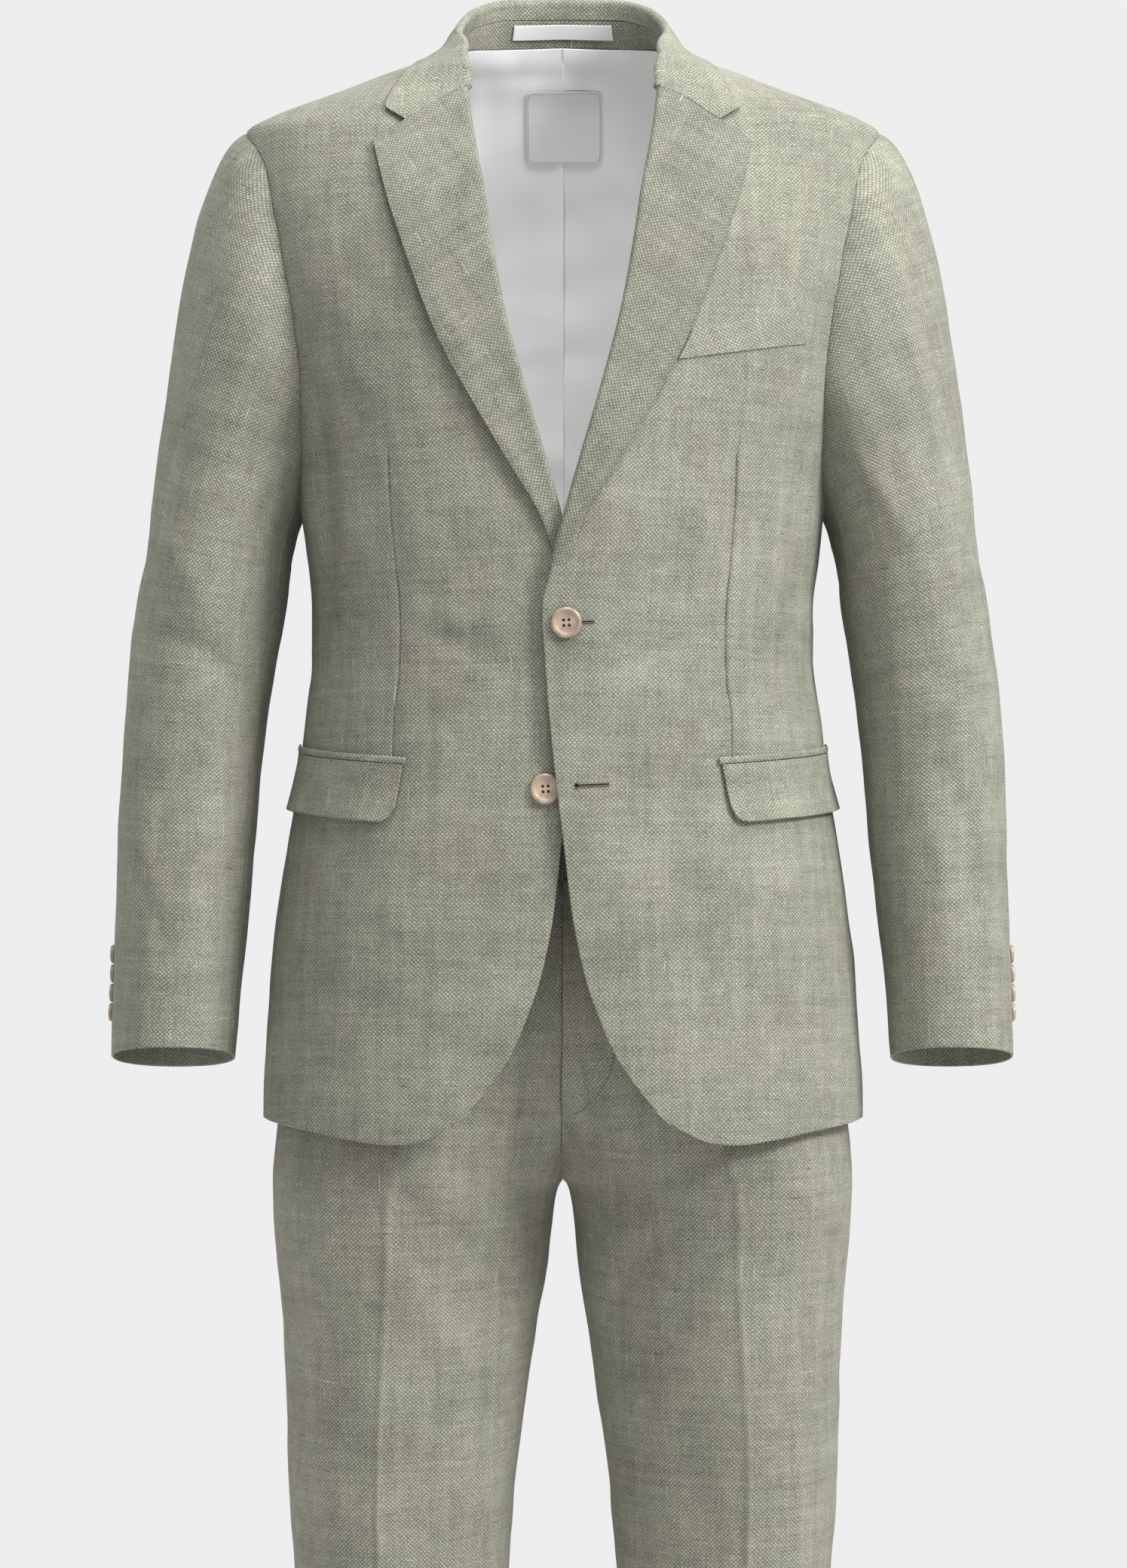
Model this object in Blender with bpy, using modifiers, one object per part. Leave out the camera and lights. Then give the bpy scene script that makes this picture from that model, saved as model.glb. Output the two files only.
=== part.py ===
"""A two-piece linen suit, worn shape with nobody in it: a two-button jacket over flat-front trousers.

Metres, +Z up, the front faces -Y and the wearer's left is +X. The origin is where the wearer's
shoulders carry the jacket, on the centre plane at the height of the neck's base.
Each cloth piece is an open grid of points, its outside face, given its thickness inwards by Solidify.
"""

import math

import bpy
import numpy as np
from mathutils import Matrix, Vector

# Driving sizes, in metres.
CLOTH = 0.0015
LEAF = 0.0012
LINING = 0.0010
SEAM_GAP = 0.0004
LAY_GAP = 0.0009
BUTTON_GAP = 0.0004
SLEEVE_SEAM_GAP = 0.0007
ROLL_RADIUS = LAY_GAP + LEAF + CLOTH / 2 + 0.0003
OVERLAP_LIFT = 0.0070
FACING_WIDTH = 0.034
FRONT_BUTTON = 0.0205
CUFF_BUTTON = 0.0126
CUFF_TILT = math.tan(math.radians(9.8))
TORSO_POWER = 2.5
SLEEVE_POWER = 2.2
LEG_SIDE_POWER = 2.4
LEG_CREASE_POWER = 1.65

# The jacket's body in level sections: height, half width, front depth, back depth, middle's y.
BODY = np.array([
    (-0.740, 0.2026, 0.133, 0.147, 0.000),
    (-0.686, 0.2028, 0.133, 0.147, 0.000),
    (-0.645, 0.2001, 0.133, 0.145, 0.000),
    (-0.604, 0.1969, 0.132, 0.140, 0.000),
    (-0.563, 0.1928, 0.131, 0.132, 0.000),
    (-0.522, 0.1862, 0.130, 0.121, 0.000),
    (-0.481, 0.1795, 0.129, 0.110, 0.001),
    (-0.440, 0.1750, 0.129, 0.106, 0.002),
    (-0.399, 0.1703, 0.129, 0.105, 0.003),
    (-0.358, 0.1697, 0.131, 0.108, 0.004),
    (-0.317, 0.1738, 0.132, 0.114, 0.004),
    (-0.268, 0.1791, 0.131, 0.121, 0.004),
    (-0.206, 0.1918, 0.129, 0.125, 0.005),
    (-0.142, 0.2075, 0.120, 0.122, 0.006),
    (-0.090, 0.2156, 0.106, 0.114, 0.006),
    (-0.062, 0.2166, 0.094, 0.106, 0.007),
    (-0.038, 0.2148, 0.082, 0.098, 0.008),
    (-0.031, 0.2035, 0.079, 0.096, 0.008),
    (-0.010, 0.1490, 0.069, 0.087, 0.010),
    (0.003, 0.1150, 0.063, 0.079, 0.011),
    (0.010, 0.0940, 0.060, 0.075, 0.012),
    (0.016, 0.0800, 0.057, 0.071, 0.012),
    (0.022, 0.0735, 0.054, 0.067, 0.013),
    (0.030, 0.0695, 0.051, 0.063, 0.014),
    (0.045, 0.0655, 0.048, 0.058, 0.015),
    (0.070, 0.0630, 0.047, 0.056, 0.015),
])

# The armhole: height, angle on the front, angle on the back, in degrees from the side.
ARMHOLE = np.array([
    (-0.302, 0.0, 0.0),
    (-0.287, 11.0, -9.0),
    (-0.262, 18.0, -17.0),
    (-0.237, 22.1, -22.0),
    (-0.215, 25.7, -24.4),
    (-0.185, 28.2, -26.4),
    (-0.154, 29.8, -27.0),
    (-0.123, 29.7, -26.4),
    (-0.094, 28.3, -25.0),
    (-0.067, 25.3, -22.0),
    (-0.050, 17.8, -16.0),
    (-0.038, 0.0, 0.0),
])
SHOULDER_TIP_Z = -0.038
FRONT_SEAM_TOP = -0.287
BACK_SEAM_TOP = -0.215
FRONT_SEAM_ANGLE = 11.0

# The back side seam: height and angle.
BACK_SEAM = np.array([(-0.705, -32.0), (-0.45, -31.0), (-0.33, -28.0), (-0.215, -24.4)])

# The lapel's roll line and the front edge below it: height and distance from the centre.
FRONT_EDGE = np.array([
    (-0.7031, 0.0664),
    (-0.6801, 0.0479),
    (-0.6602, 0.0345),
    (-0.6343, 0.0231),
    (-0.6060, 0.0137),
    (-0.5678, 0.0060),
    (-0.5240, 0.0007),
    (-0.4619, -0.0067),
    (-0.3977, -0.0122),
    (-0.3693, -0.0137),
    (-0.3594, -0.0132),
    (-0.3450, -0.0098),
    (-0.3340, -0.0077),
    (-0.3027, 0.0005),
    (-0.2720, 0.0090),
    (-0.2224, 0.0235),
    (-0.1650, 0.0385),
    (-0.1210, 0.0465),
    (-0.0830, 0.0522),
    (-0.0450, 0.0592),
    (-0.0127, 0.0635),
])
LAPEL_END_Z = -0.340
LAPEL_EDGE = np.array([
    (-0.3400, 0.0010),
    (-0.3305, 0.0052),
    (-0.3052, 0.0142),
    (-0.2693, 0.0351),
    (-0.2247, 0.0610),
    (-0.1855, 0.0821),
    (-0.1336, 0.1018),
    (-0.0863, 0.1175),
    (-0.0526, 0.1262),
])
# The lapel's top edge: share of the way across, height. It runs along the gorge, then the notch.
LAPEL_TOP = np.array([(0.0, -0.0127), (0.40, -0.0385), (1.0, -0.0526)])
# Hem of the front: share of the way from side seam to front edge, height.
FRONT_HEM = np.array([
    (0.00, -0.7065),
    (0.40, -0.7120),
    (0.63, -0.7176),
    (0.765, -0.7201),
    (0.86, -0.7183),
    (0.925, -0.7125),
    (1.00, -0.7031),
])
SIDE_HEM_Z = -0.7065
BACK_HEM_Z = -0.7080

# The collar by angle from the centre back: its fold's height, its fall edge's angle and height,
# and the height of the leaf inside it.
COLLAR = np.array([
    (0.0, 0.0603, 0.0, 0.0150, 0.0110),
    (30.0, 0.0592, 30.0, 0.0135, 0.0110),
    (55.0, 0.0532, 55.0, 0.0090, 0.0105),
    (78.0, 0.0432, 76.0, 0.0050, 0.0095),
    (98.0, 0.0322, 96.0, 0.0030, 0.0080),
    (119.0, 0.0192, 115.0, -0.0005, 0.0060),
    (136.0, 0.0127, 128.0, -0.0045, 0.0050),
    (151.0, 0.0030, 138.0, -0.0125, 0.0045),
    (161.0, -0.0072, 149.1, -0.0298, 0.0015),
])
NECK_SEAM = np.array([(0.0, 0.0272), (55.0, 0.0235), (90.0, 0.0175), (105.0, 0.0155)])
STAND_END_ANGLE = 104.0
NECK_SIDE = (8.0, 16.0, 26.0, 38.0, 50.0, 62.0, 74.0, 84.0, 94.0, 104.0, 115.0, 126.0, 136.0, 146.0, 154.0, 161.0)
NECK_ANGLES = np.array([-a for a in NECK_SIDE[::-1]] + [0.0] + list(NECK_SIDE))

# The sleeve below the armpit: height, outer x, inner x, front y, back y.
SLEEVE = np.array([
    (-0.675, 0.3042, 0.2218, -0.076, 0.022),
    (-0.625, 0.3028, 0.2188, -0.074, 0.030),
    (-0.563, 0.3018, 0.2120, -0.071, 0.042),
    (-0.522, 0.3007, 0.2085, -0.070, 0.048),
    (-0.481, 0.2995, 0.2050, -0.068, 0.055),
    (-0.440, 0.2970, 0.2004, -0.067, 0.061),
    (-0.399, 0.2932, 0.1953, -0.067, 0.066),
    (-0.358, 0.2885, 0.1883, -0.067, 0.070),
    (-0.330, 0.2825, 0.1845, -0.067, 0.072),
])
BICEP_Z = -0.330
CUFF_Z = -0.6655

# The trousers: height, outer x, inner x (under 0 above the crotch), front depth, back depth,
# middle's y, how far the crease sits outside the leg's middle.
LEG = np.array([
    (-1.550, 0.1680, 0.0520, 0.062, 0.066, 0.012, 0.008),
    (-1.400, 0.1700, 0.0500, 0.064, 0.070, 0.012, 0.010),
    (-1.200, 0.1740, 0.0450, 0.071, 0.078, 0.010, 0.012),
    (-1.013, 0.1810, 0.0376, 0.080, 0.086, 0.006, 0.014),
    (-0.952, 0.1860, 0.0320, 0.084, 0.091, 0.004, 0.015),
    (-0.911, 0.1875, 0.0264, 0.087, 0.095, 0.003, 0.016),
    (-0.850, 0.1892, 0.0177, 0.092, 0.102, 0.002, 0.016),
    (-0.809, 0.1922, 0.0105, 0.096, 0.108, 0.001, 0.016),
    (-0.768, 0.1957, 0.0062, 0.100, 0.114, 0.000, 0.016),
    (-0.748, 0.1963, -0.0008, 0.102, 0.116, 0.000, 0.017),
    (-0.727, 0.1950, -0.0120, 0.104, 0.116, 0.000, 0.018),
    (-0.690, 0.1905, -0.0500, 0.104, 0.116, 0.000, 0.024),
    (-0.650, 0.1835, -0.0950, 0.104, 0.115, 0.000, 0.024),
    (-0.600, 0.1720, -0.1250, 0.102, 0.108, 0.000, 0.018),
    (-0.545, 0.1580, -0.1380, 0.101, 0.098, 0.000, 0.010),
    (-0.505, 0.1540, -0.1400, 0.100, 0.094, 0.000, 0.008),
])
WAISTBAND_TOP = -0.505
WAISTBAND_SEAM = -0.545
TROUSER_HEM = -1.550
FRONT_LEVELS = (
    0.014, 0.006, -0.004, -0.016, -0.028, -0.038, -0.050, -0.067, -0.094, -0.123, -0.154,
    -0.185, -0.215, -0.237, -0.262, -0.287, -0.325, -0.370, -0.415, -0.465, -0.515, -0.565,
    -0.610, -0.650, -0.682, -0.7065,
)

COLOURS = {
    "linen": ((0.330, 0.345, 0.262), 0.85),
    "satin": ((0.760, 0.760, 0.770), 0.35),
    "label": ((0.560, 0.560, 0.570), 0.60),
    "button": ((0.500, 0.380, 0.285), 0.35),
}


def smooth(table, where, column):
    """The table's column at a place, on a curve through its rows that never overshoots them."""
    x, y = table[:, 0], table[:, column]
    step = np.diff(x)
    rise = np.diff(y) / step
    slope = np.empty(len(x))
    slope[0], slope[-1] = rise[0], rise[-1]
    before, after = rise[:-1], rise[1:]
    w1 = 2 * step[1:] + step[:-1]
    w2 = step[1:] + 2 * step[:-1]
    same = before * after > 0
    safe_before = np.where(same, before, 1.0)
    safe_after = np.where(same, after, 1.0)
    slope[1:-1] = np.where(same, (w1 + w2) / (w1 / safe_before + w2 / safe_after), 0.0)
    where = np.clip(where, x[0], x[-1])
    i = np.clip(np.searchsorted(x, where) - 1, 0, len(x) - 2)
    f = (where - x[i]) / step[i]
    return (
        (1 + 2 * f) * (1 - f) ** 2 * y[i]
        + f * (1 - f) ** 2 * step[i] * slope[i]
        + f * f * (3 - 2 * f) * y[i + 1]
        + f * f * (f - 1) * step[i] * slope[i + 1]
    )


def ease(x):
    """0 to 1 along an S-shaped curve."""
    x = np.clip(x, 0.0, 1.0)
    return x * x * (3 - 2 * x)


def power(value, exponent):
    """A signed power, for the blunt ovals."""
    return np.sign(value) * np.abs(value) ** exponent


def body(angle, z, lift=0.0):
    """A point of the jacket's body: degrees from the wearer's left side round the front, height, lift."""
    angle = np.radians(angle)
    c, s = np.cos(angle), np.sin(angle)
    wide = smooth(BODY, z, 1)
    deep = np.where(s > 0, smooth(BODY, z, 2), smooth(BODY, z, 3))
    middle = smooth(BODY, z, 4)
    x = wide * power(c, 2 / TORSO_POWER)
    off = -deep * power(s, 2 / TORSO_POWER)
    here = np.stack([x, middle + off, z + 0 * x], -1)
    return here + np.asarray(lift)[..., None] * body_normal(x, off, z, s)


def body_normal(x, off, z, s):
    """The way out of the body's surface, from the slope of its oval sections."""
    h = 0.002

    def level(at):
        wide = smooth(BODY, at, 1)
        deep = np.where(s > 0, smooth(BODY, at, 2), smooth(BODY, at, 3))
        shift = smooth(BODY, at, 4) - smooth(BODY, z, 4)
        return np.abs(x / wide) ** TORSO_POWER + np.abs((off - shift) / deep) ** TORSO_POWER

    wide = smooth(BODY, z, 1)
    deep = np.where(s > 0, smooth(BODY, z, 2), smooth(BODY, z, 3))
    nx = TORSO_POWER / wide * power(x / wide, TORSO_POWER - 1)
    ny = TORSO_POWER / deep * power(off / deep, TORSO_POWER - 1)
    nz = (level(z + h) - level(z - h)) / (2 * h)
    normal = np.stack([nx, ny, nz], -1)
    return normal / np.linalg.norm(normal, axis=-1, keepdims=True)


def front_angle(x, z):
    """The angle on the body's front that is seen at this distance from the centre and height."""
    share = np.clip(x / smooth(BODY, z, 1), -1, 1)
    return np.degrees(np.arccos(power(share, TORSO_POWER / 2)))


def table_angle(table, z):
    """The angle of an edge that a table gives as heights and distances from the centre."""
    return front_angle(smooth(table, z, 1), z)


def overlap_lift(x, z):
    """How far the left front stands off at the centre, where it lies over the right one."""
    across = ease((0.088 - x) / 0.070)
    return OVERLAP_LIFT * across * ease((-0.130 - z) / 0.140) * ease((z + 0.660) / 0.120)


def inset(grid, top=0.0, bottom=0.0, first=0.0, last=0.0):
    """The grid with its edges drawn in by a seam's half gap."""
    grid = grid.copy()

    def pull(edge, inner, by):
        way = inner - edge
        return edge + by * way / np.linalg.norm(way, axis=-1, keepdims=True)

    for by, edge, inner in ((top, 0, 1), (bottom, -1, -2)):
        if by:
            grid[edge] = pull(grid[edge], grid[inner], by)
    for by, edge, inner in ((first, 0, 1), (last, -1, -2)):
        if by:
            grid[:, edge] = pull(grid[:, edge], grid[:, inner], by)
    return grid


def mirrored(grid):
    """The same grid for the wearer's right side, still facing out."""
    return grid[:, ::-1] * np.array([-1.0, 1.0, 1.0])


def collection_named(name):
    collection = bpy.data.collections.new(name)
    bpy.context.scene.collection.children.link(collection)
    return collection


def material_for(name, finish):
    colour, roughness = COLOURS[finish]
    material = bpy.data.materials.new(name + "_" + finish)
    material.use_nodes = True
    shader = material.node_tree.nodes["Principled BSDF"]
    shader.inputs["Base Color"].default_value = (*colour, 1.0)
    shader.inputs["Roughness"].default_value = roughness
    shader.inputs["Metallic"].default_value = 0.0
    material.diffuse_color = (*colour, 1.0)
    return material


def add_object(name, mesh, finish):
    obj = bpy.data.objects.new(name, mesh)
    mesh.materials.append(material_for(name, finish))
    bpy.data.collections["suit"].objects.link(obj)
    return obj


def add_cloth(name, grid, thickness=CLOTH, finish="linen"):
    """A cloth piece from its outside face: rows run down, columns run from the wearer's left to right."""
    rows, columns = grid.shape[:2]
    mesh = bpy.data.meshes.new(name)
    faces = [
        (r * columns + c, r * columns + c + 1, (r + 1) * columns + c + 1, (r + 1) * columns + c)
        for r in range(rows - 1)
        for c in range(columns - 1)
    ]
    mesh.from_pydata(grid.reshape(-1, 3).tolist(), [], faces)
    mesh.shade_smooth()
    obj = add_object(name, mesh, finish)
    solid = obj.modifiers.new("Thickness", "SOLIDIFY")
    solid.thickness = thickness
    solid.offset = -1.0
    solid.use_quality_normals = True
    return obj


def add_pair(name, grid, **how):
    add_cloth(name + "_left", grid, **how)
    add_cloth(name + "_right", mirrored(grid), **how)


def patch(levels, first_angle, last_angle, tops, bottoms, columns, lift=0.0):
    """Points of a body panel. Its rows follow levels, stretched to the top and bottom edge by column."""
    levels = np.array(levels)
    share = ((levels - levels[0]) / (levels[-1] - levels[0]))[:, None]
    z = tops[None, :] + (bottoms - tops)[None, :] * share
    a0 = first_angle(z[:, :1])
    a1 = last_angle(z[:, -1:])
    angle = a0 + (a1 - a0) * columns[None, :]
    if callable(lift):
        lift = lift(body(angle, z)[..., 0], z)
    return body(angle, z, lift + 0 * z)


def panel_front_edge_angle(z):
    """The front panel's inner edge: the neck, a little outside the roll line, then the front edge."""
    x = smooth(FRONT_EDGE, z, 1) + (ROLL_RADIUS + 0.0006) * ease((z + 0.357) / 0.010)
    return front_angle(x, z)


def front_outer_angle(z):
    on_armhole = smooth(ARMHOLE, z, 1)
    return np.where(z > SHOULDER_TIP_Z, 0.0, np.where(z < FRONT_SEAM_TOP, FRONT_SEAM_ANGLE, on_armhole))


def back_outer_angle(z):
    on_armhole = smooth(ARMHOLE, z, 2)
    on_seam = smooth(BACK_SEAM, z, 1)
    return np.where(z > SHOULDER_TIP_Z, 0.0, np.where(z < BACK_SEAM_TOP, on_seam, on_armhole))


def build_fronts():
    columns = np.array([0.0, 0.035, 0.13, 0.25, 0.38, 0.51, 0.63, 0.74, 0.84, 0.92, 1.0])
    tops = np.interp(columns, (0, 1), (FRONT_LEVELS[0], -0.0150))
    bottoms = smooth(FRONT_HEM, columns, 1)
    for name, lift, flip in (("front_left", overlap_lift, False), ("front_right", 0.0, True)):
        grid = patch(
            FRONT_LEVELS, front_outer_angle, panel_front_edge_angle, tops, bottoms, columns, lift
        )
        grid = inset(grid, first=SEAM_GAP / 2)
        add_cloth(name, mirrored(grid) if flip else grid)


def side_levels():
    start = FRONT_LEVELS.index(FRONT_SEAM_TOP)
    return FRONT_LEVELS[start:]


def back_levels():
    """The back's rows: the armhole's own, then rows that meet the side panel's at their seam."""
    upper = [z for z in FRONT_LEVELS if z >= BACK_SEAM_TOP]
    levels = np.array(side_levels())
    share = (levels - levels[0]) / (levels[-1] - levels[0])
    lower = BACK_SEAM_TOP + (SIDE_HEM_Z - BACK_SEAM_TOP) * share
    return upper + list(lower[1:])


def build_sides():
    """The side panels, from the back seam to the front one, under the armhole."""
    angles = np.array([-24.4, -22.0, -17.0, -9.0, 0.0, 9.0, 11.0])
    columns = (angles - angles[0]) / (angles[-1] - angles[0])
    tops = np.array([-0.215, -0.237, -0.262, -0.287, -0.302, -0.2915, -0.287])
    bottoms = np.full(7, SIDE_HEM_Z)
    grid = patch(
        side_levels(),
        lambda z: smooth(BACK_SEAM, z, 1),
        lambda z: FRONT_SEAM_ANGLE + 0 * z,
        tops,
        bottoms,
        columns,
    )
    half = SEAM_GAP / 2
    add_pair("side_panel", inset(grid, top=half, first=half, last=half))


def back_grid(lift=0.0):
    columns = np.array([0.0, 0.08, 0.25, 0.44, 0.63, 0.82, 0.96, 1.0])
    tops = np.interp(columns, (0, 1), (0.0262, FRONT_LEVELS[0]))
    bottoms = np.interp(columns, (0, 1), (BACK_HEM_Z, SIDE_HEM_Z))
    return patch(back_levels(), lambda z: -90.0 + 0 * z, back_outer_angle, tops, bottoms, columns, lift)


def build_backs():
    half = SEAM_GAP / 2
    add_pair("back", inset(back_grid(), first=half, last=half))


def build_lining():
    """The satin of the back, just inside the cloth, in halves with a seam at the centre."""
    grid = back_grid(-CLOTH - LAY_GAP)[:-1]
    grid = inset(grid, first=SEAM_GAP / 2, last=0.004, bottom=0.002)
    add_pair("back_lining", grid, thickness=LINING, finish="satin")


def armhole_loop():
    """The armhole's points from the shoulder tip down the front, across and up the back."""
    table = ARMHOLE[::-1]
    front = [(z, a) for z, a, _ in table]
    back = [(z, a) for z, _, a in table[1:-1]][::-1]
    loop = np.array(front + back)
    return body(loop[:, 1], loop[:, 0]), loop


def sleeve_ring(turn, z):
    """A point of the sleeve below the armpit: degrees from the outside round the front, height."""
    turn = np.radians(turn)
    outer, inner = smooth(SLEEVE, z, 1), smooth(SLEEVE, z, 2)
    front, back = smooth(SLEEVE, z, 3), smooth(SLEEVE, z, 4)
    x = (outer + inner) / 2 + (outer - inner) / 2 * power(np.cos(turn), 2 / SLEEVE_POWER)
    off = -(back - front) / 2 * power(np.sin(turn), 2 / SLEEVE_POWER)
    tilt = CUFF_TILT * ease((-0.44 - z) / (-0.44 - CUFF_Z))
    return np.stack([x, (front + back) / 2 + off, z - tilt * off], -1)


def sleeve_cap(start, turn, share):
    """A point of the sleeve head: it leaves the armhole outwards and turns down to the bicep."""
    end = sleeve_ring(turn, BICEP_Z)
    reach = np.linalg.norm(end - start, axis=-1, keepdims=True)
    c, s = np.cos(np.radians(turn)), np.sin(np.radians(turn))
    top = (1 + c) / 2
    leave = np.stack([0.28 + 0.13 * top, -0.22 * s, -0.32 + 0.21 * top], -1) * reach
    arrive = np.stack([0.04 + 0.06 * top, 0 * c, -0.95 + 0.04 * top], -1) * reach
    return (
        (1 + 2 * share) * (1 - share) ** 2 * start
        + share * (1 - share) ** 2 * leave
        + share * share * (3 - 2 * share) * end
        + share * share * (share - 1) * arrive
    )


def build_sleeves():
    """Top sleeve over the outside, under sleeve at the body, with seams at the front and the back."""
    points, loop = armhole_loop()
    middle = np.array([0.0, 0.003, -0.170])
    turn0 = np.degrees(np.arctan2(-(points[:, 1] - middle[1]) / 0.066, (points[:, 2] - middle[2]) / 0.132))
    turn0 = np.where(turn0 < -1e-6, turn0 + 360, turn0)
    order = np.argsort(turn0)
    points, turn0 = points[order], turn0[order]
    inward = points.mean(0) - points
    inward[:, 0] = 0.03
    inward = inward / np.linalg.norm(inward, axis=1, keepdims=True)
    start = points + inward * 0.0006
    count = len(turn0)
    front = int(np.argmin(abs(turn0 - 158)))
    back = int(np.argmin(abs(turn0 - 292)))
    cap_shares = np.array([0.0, 0.10, 0.22, 0.36, 0.52, 0.74, 1.0])
    levels = np.array([-0.375, -0.425, -0.480, -0.535, -0.590, -0.635, CUFF_Z])
    sets = {
        "top_sleeve": [k % count for k in range(back, count + front + 1)],
        "under_sleeve": list(range(front, back + 1)),
    }
    cuff_turns = {"top_sleeve": (342 - 360, 160), "under_sleeve": (160, 342)}
    for name, picks in sets.items():
        first = turn0[picks].copy()
        if name == "top_sleeve":
            first[: count - back] -= 360
        even = np.linspace(*cuff_turns[name], len(picks))
        rows = [sleeve_cap(start[picks], first, f) for f in cap_shares]
        for z in levels:
            part = ease((BICEP_Z - z) / (BICEP_Z - CUFF_Z))
            rows.append(sleeve_ring(first + (even - first) * part, z + 0 * first))
        grid = inset(np.array(rows), first=SLEEVE_SEAM_GAP / 2, last=SLEEVE_SEAM_GAP / 2)
        add_pair(name, grid)


def hairpin(outer, fold_way, normal, inner, radius):
    """Rows of points: an outside leaf, a round fold at its end, then the leaf behind it."""
    centre = outer[:, -1] - radius * normal
    turns = np.radians((30, 65, 115, 150))
    arc = [centre + radius * (math.cos(a) * normal + math.sin(a) * fold_way) for a in turns]
    return np.concatenate([outer, np.stack(arc, 1), inner], 1)


def lapel_grid(lift):
    """The lapel: over the front from its outer edge to the roll line, round it and a little way inside."""
    columns = np.array([1.0, 0.8, 0.6, 0.40, 0.2, 0.0])
    share = np.array([0.0, 0.05, 0.13, 0.23, 0.34, 0.45, 0.56, 0.67, 0.78, 0.88, 0.95, 1.0])[:, None]
    tops = np.interp(columns, LAPEL_TOP[:, 0], LAPEL_TOP[:, 1]) - 3 * SEAM_GAP
    z = tops + (LAPEL_END_Z - tops) * share
    roll_x = smooth(FRONT_EDGE, z[:, -1:], 1) + ROLL_RADIUS
    roll = front_angle(roll_x, z[:, -1:])
    edge = table_angle(LAPEL_EDGE, z[:, :1])
    angle = roll + (edge - roll) * columns
    base = body(angle, z)
    lifts = lift(base[..., 0], z) if callable(lift) else 0 * z
    high = LAY_GAP + LEAF + 0.0005
    outer = body(angle, z, lifts + high)
    normal = body(angle, z, 1.0 + 0 * z)[:, -1] - base[:, -1]
    way = base[:, -1] - base[:, -2]
    way = way - normal * np.sum(way * normal, 1, keepdims=True)
    along = np.gradient(base[:, -1], axis=0)
    along = along / np.linalg.norm(along, axis=1, keepdims=True)
    way = way - along * np.sum(way * along, 1, keepdims=True)
    way = way / np.linalg.norm(way, axis=1, keepdims=True)
    back_x = roll_x + FACING_WIDTH * np.array([0.0, 0.5, 1.0])
    back_z = z[:, -1:] + 0 * back_x
    back_angle = front_angle(back_x, back_z)
    back_lift = lift(body(back_angle, back_z)[..., 0], back_z) if callable(lift) else 0 * back_z
    inner = body(back_angle, back_z, back_lift + high - 2 * ROLL_RADIUS)
    return hairpin(outer, way, normal, inner, ROLL_RADIUS)


def build_lapels():
    add_cloth("lapel_left", lapel_grid(overlap_lift), thickness=LEAF)
    add_cloth("lapel_right", mirrored(lapel_grid(0.0)), thickness=LEAF)


def collar_rows(a):
    """The collar at these angles from the centre back: inside leaf, fold, fall."""
    side = np.abs(a)
    sign = np.where(a < 0, -1.0, 1.0)
    fold_z = smooth(COLLAR, side, 1)
    edge_a = smooth(COLLAR, side, 2)
    edge_z = smooth(COLLAR, side, 3)
    leaf = smooth(COLLAR, side, 4)
    near_end = ease((side - 138.0) / 23.0)
    radius = 0.0030
    sink = ease((side - STAND_END_ANGLE) / 50.0)
    top_lift = 0.0048 - 0.0026 * sink
    edge_lift = 2 * LAY_GAP + LEAF - LAY_GAP * sink
    rows = [body(a - 90, fold_z - radius - leaf, top_lift - 2 * radius - 0.0002)]
    rows.append(body(a - 90, fold_z - radius, top_lift - 2 * radius - 0.0002))
    low = body(a - 90, fold_z - radius, 0 * a)
    normal = body(a - 90, fold_z - radius, 1.0 + 0 * a) - low
    up = np.array([0.0, 0.0, 1.0]) - normal * normal[:, 2:]
    up = up / np.linalg.norm(up, axis=1, keepdims=True)
    middle = low + normal * (top_lift - radius)[:, None]
    for turn in (150, 110, 70, 30):
        t = math.radians(turn)
        rows.append(middle + radius * (math.cos(t) * normal + math.sin(t) * up))
    for share in (0.0, 0.25, 0.5, 0.73, 1.0):
        dip = -0.0128 * min(share / 0.73, (1 - share) / 0.27) * near_end
        z = fold_z - radius + (edge_z - fold_z + radius) * share + dip
        at = sign * (side + (edge_a - side) * share)
        puff = 0.0030 * math.sin(math.pi * min(1.0, share * 1.1)) * np.exp(-(((side - 88.0) / 28.0) ** 2))
        lift = top_lift + (edge_lift - top_lift) * ease(share) + puff
        rows.append(body(at - 90, z, lift + 0 * a))
    return np.array(rows)


def build_collar():
    add_cloth("collar", collar_rows(NECK_ANGLES), thickness=LEAF)


def stand_point(a, share, lift):
    """A point of the band inside the neck, from its top seam to the neck seam."""
    side = np.abs(a)
    top = smooth(COLLAR, side, 1) - 0.0030 - smooth(COLLAR, side, 4) - SEAM_GAP
    low = smooth(NECK_SEAM, side, 1)
    return body(a - 90, top + (low - top) * share, lift + 0 * a)


def build_collar_stand():
    a = NECK_ANGLES[np.abs(NECK_ANGLES) <= STAND_END_ANGLE]
    grid = np.array([stand_point(a, share, 0.0) for share in (0.0, 0.5, 1.0)])
    add_cloth("collar_stand", grid, thickness=LEAF)


def build_hanger_band():
    """The plain satin band across the stand, where the jacket hangs on a hook."""
    a = np.array([-26.0, -16.0, -8.0, 0.0, 8.0, 16.0, 26.0])
    grid = np.array([stand_point(a, share, -LEAF - LAY_GAP) for share in (0.20, 0.62)])
    add_cloth("hanger_band", grid, thickness=LINING, finish="satin")


def build_label():
    """The bare square patch on the lining."""
    z = np.linspace(0.0005, -0.0490, 5)[:, None]
    x = np.linspace(0.0275, -0.0255, 6)[None, :]
    lift = -CLOTH - LINING - 2.4 * LAY_GAP
    angle = -front_angle(x, z + 0 * x)
    grid = body(angle, z + 0 * x, lift + 0 * x + 0 * z)[:, ::-1]
    add_cloth("label_patch", grid, thickness=LINING, finish="label")


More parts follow.
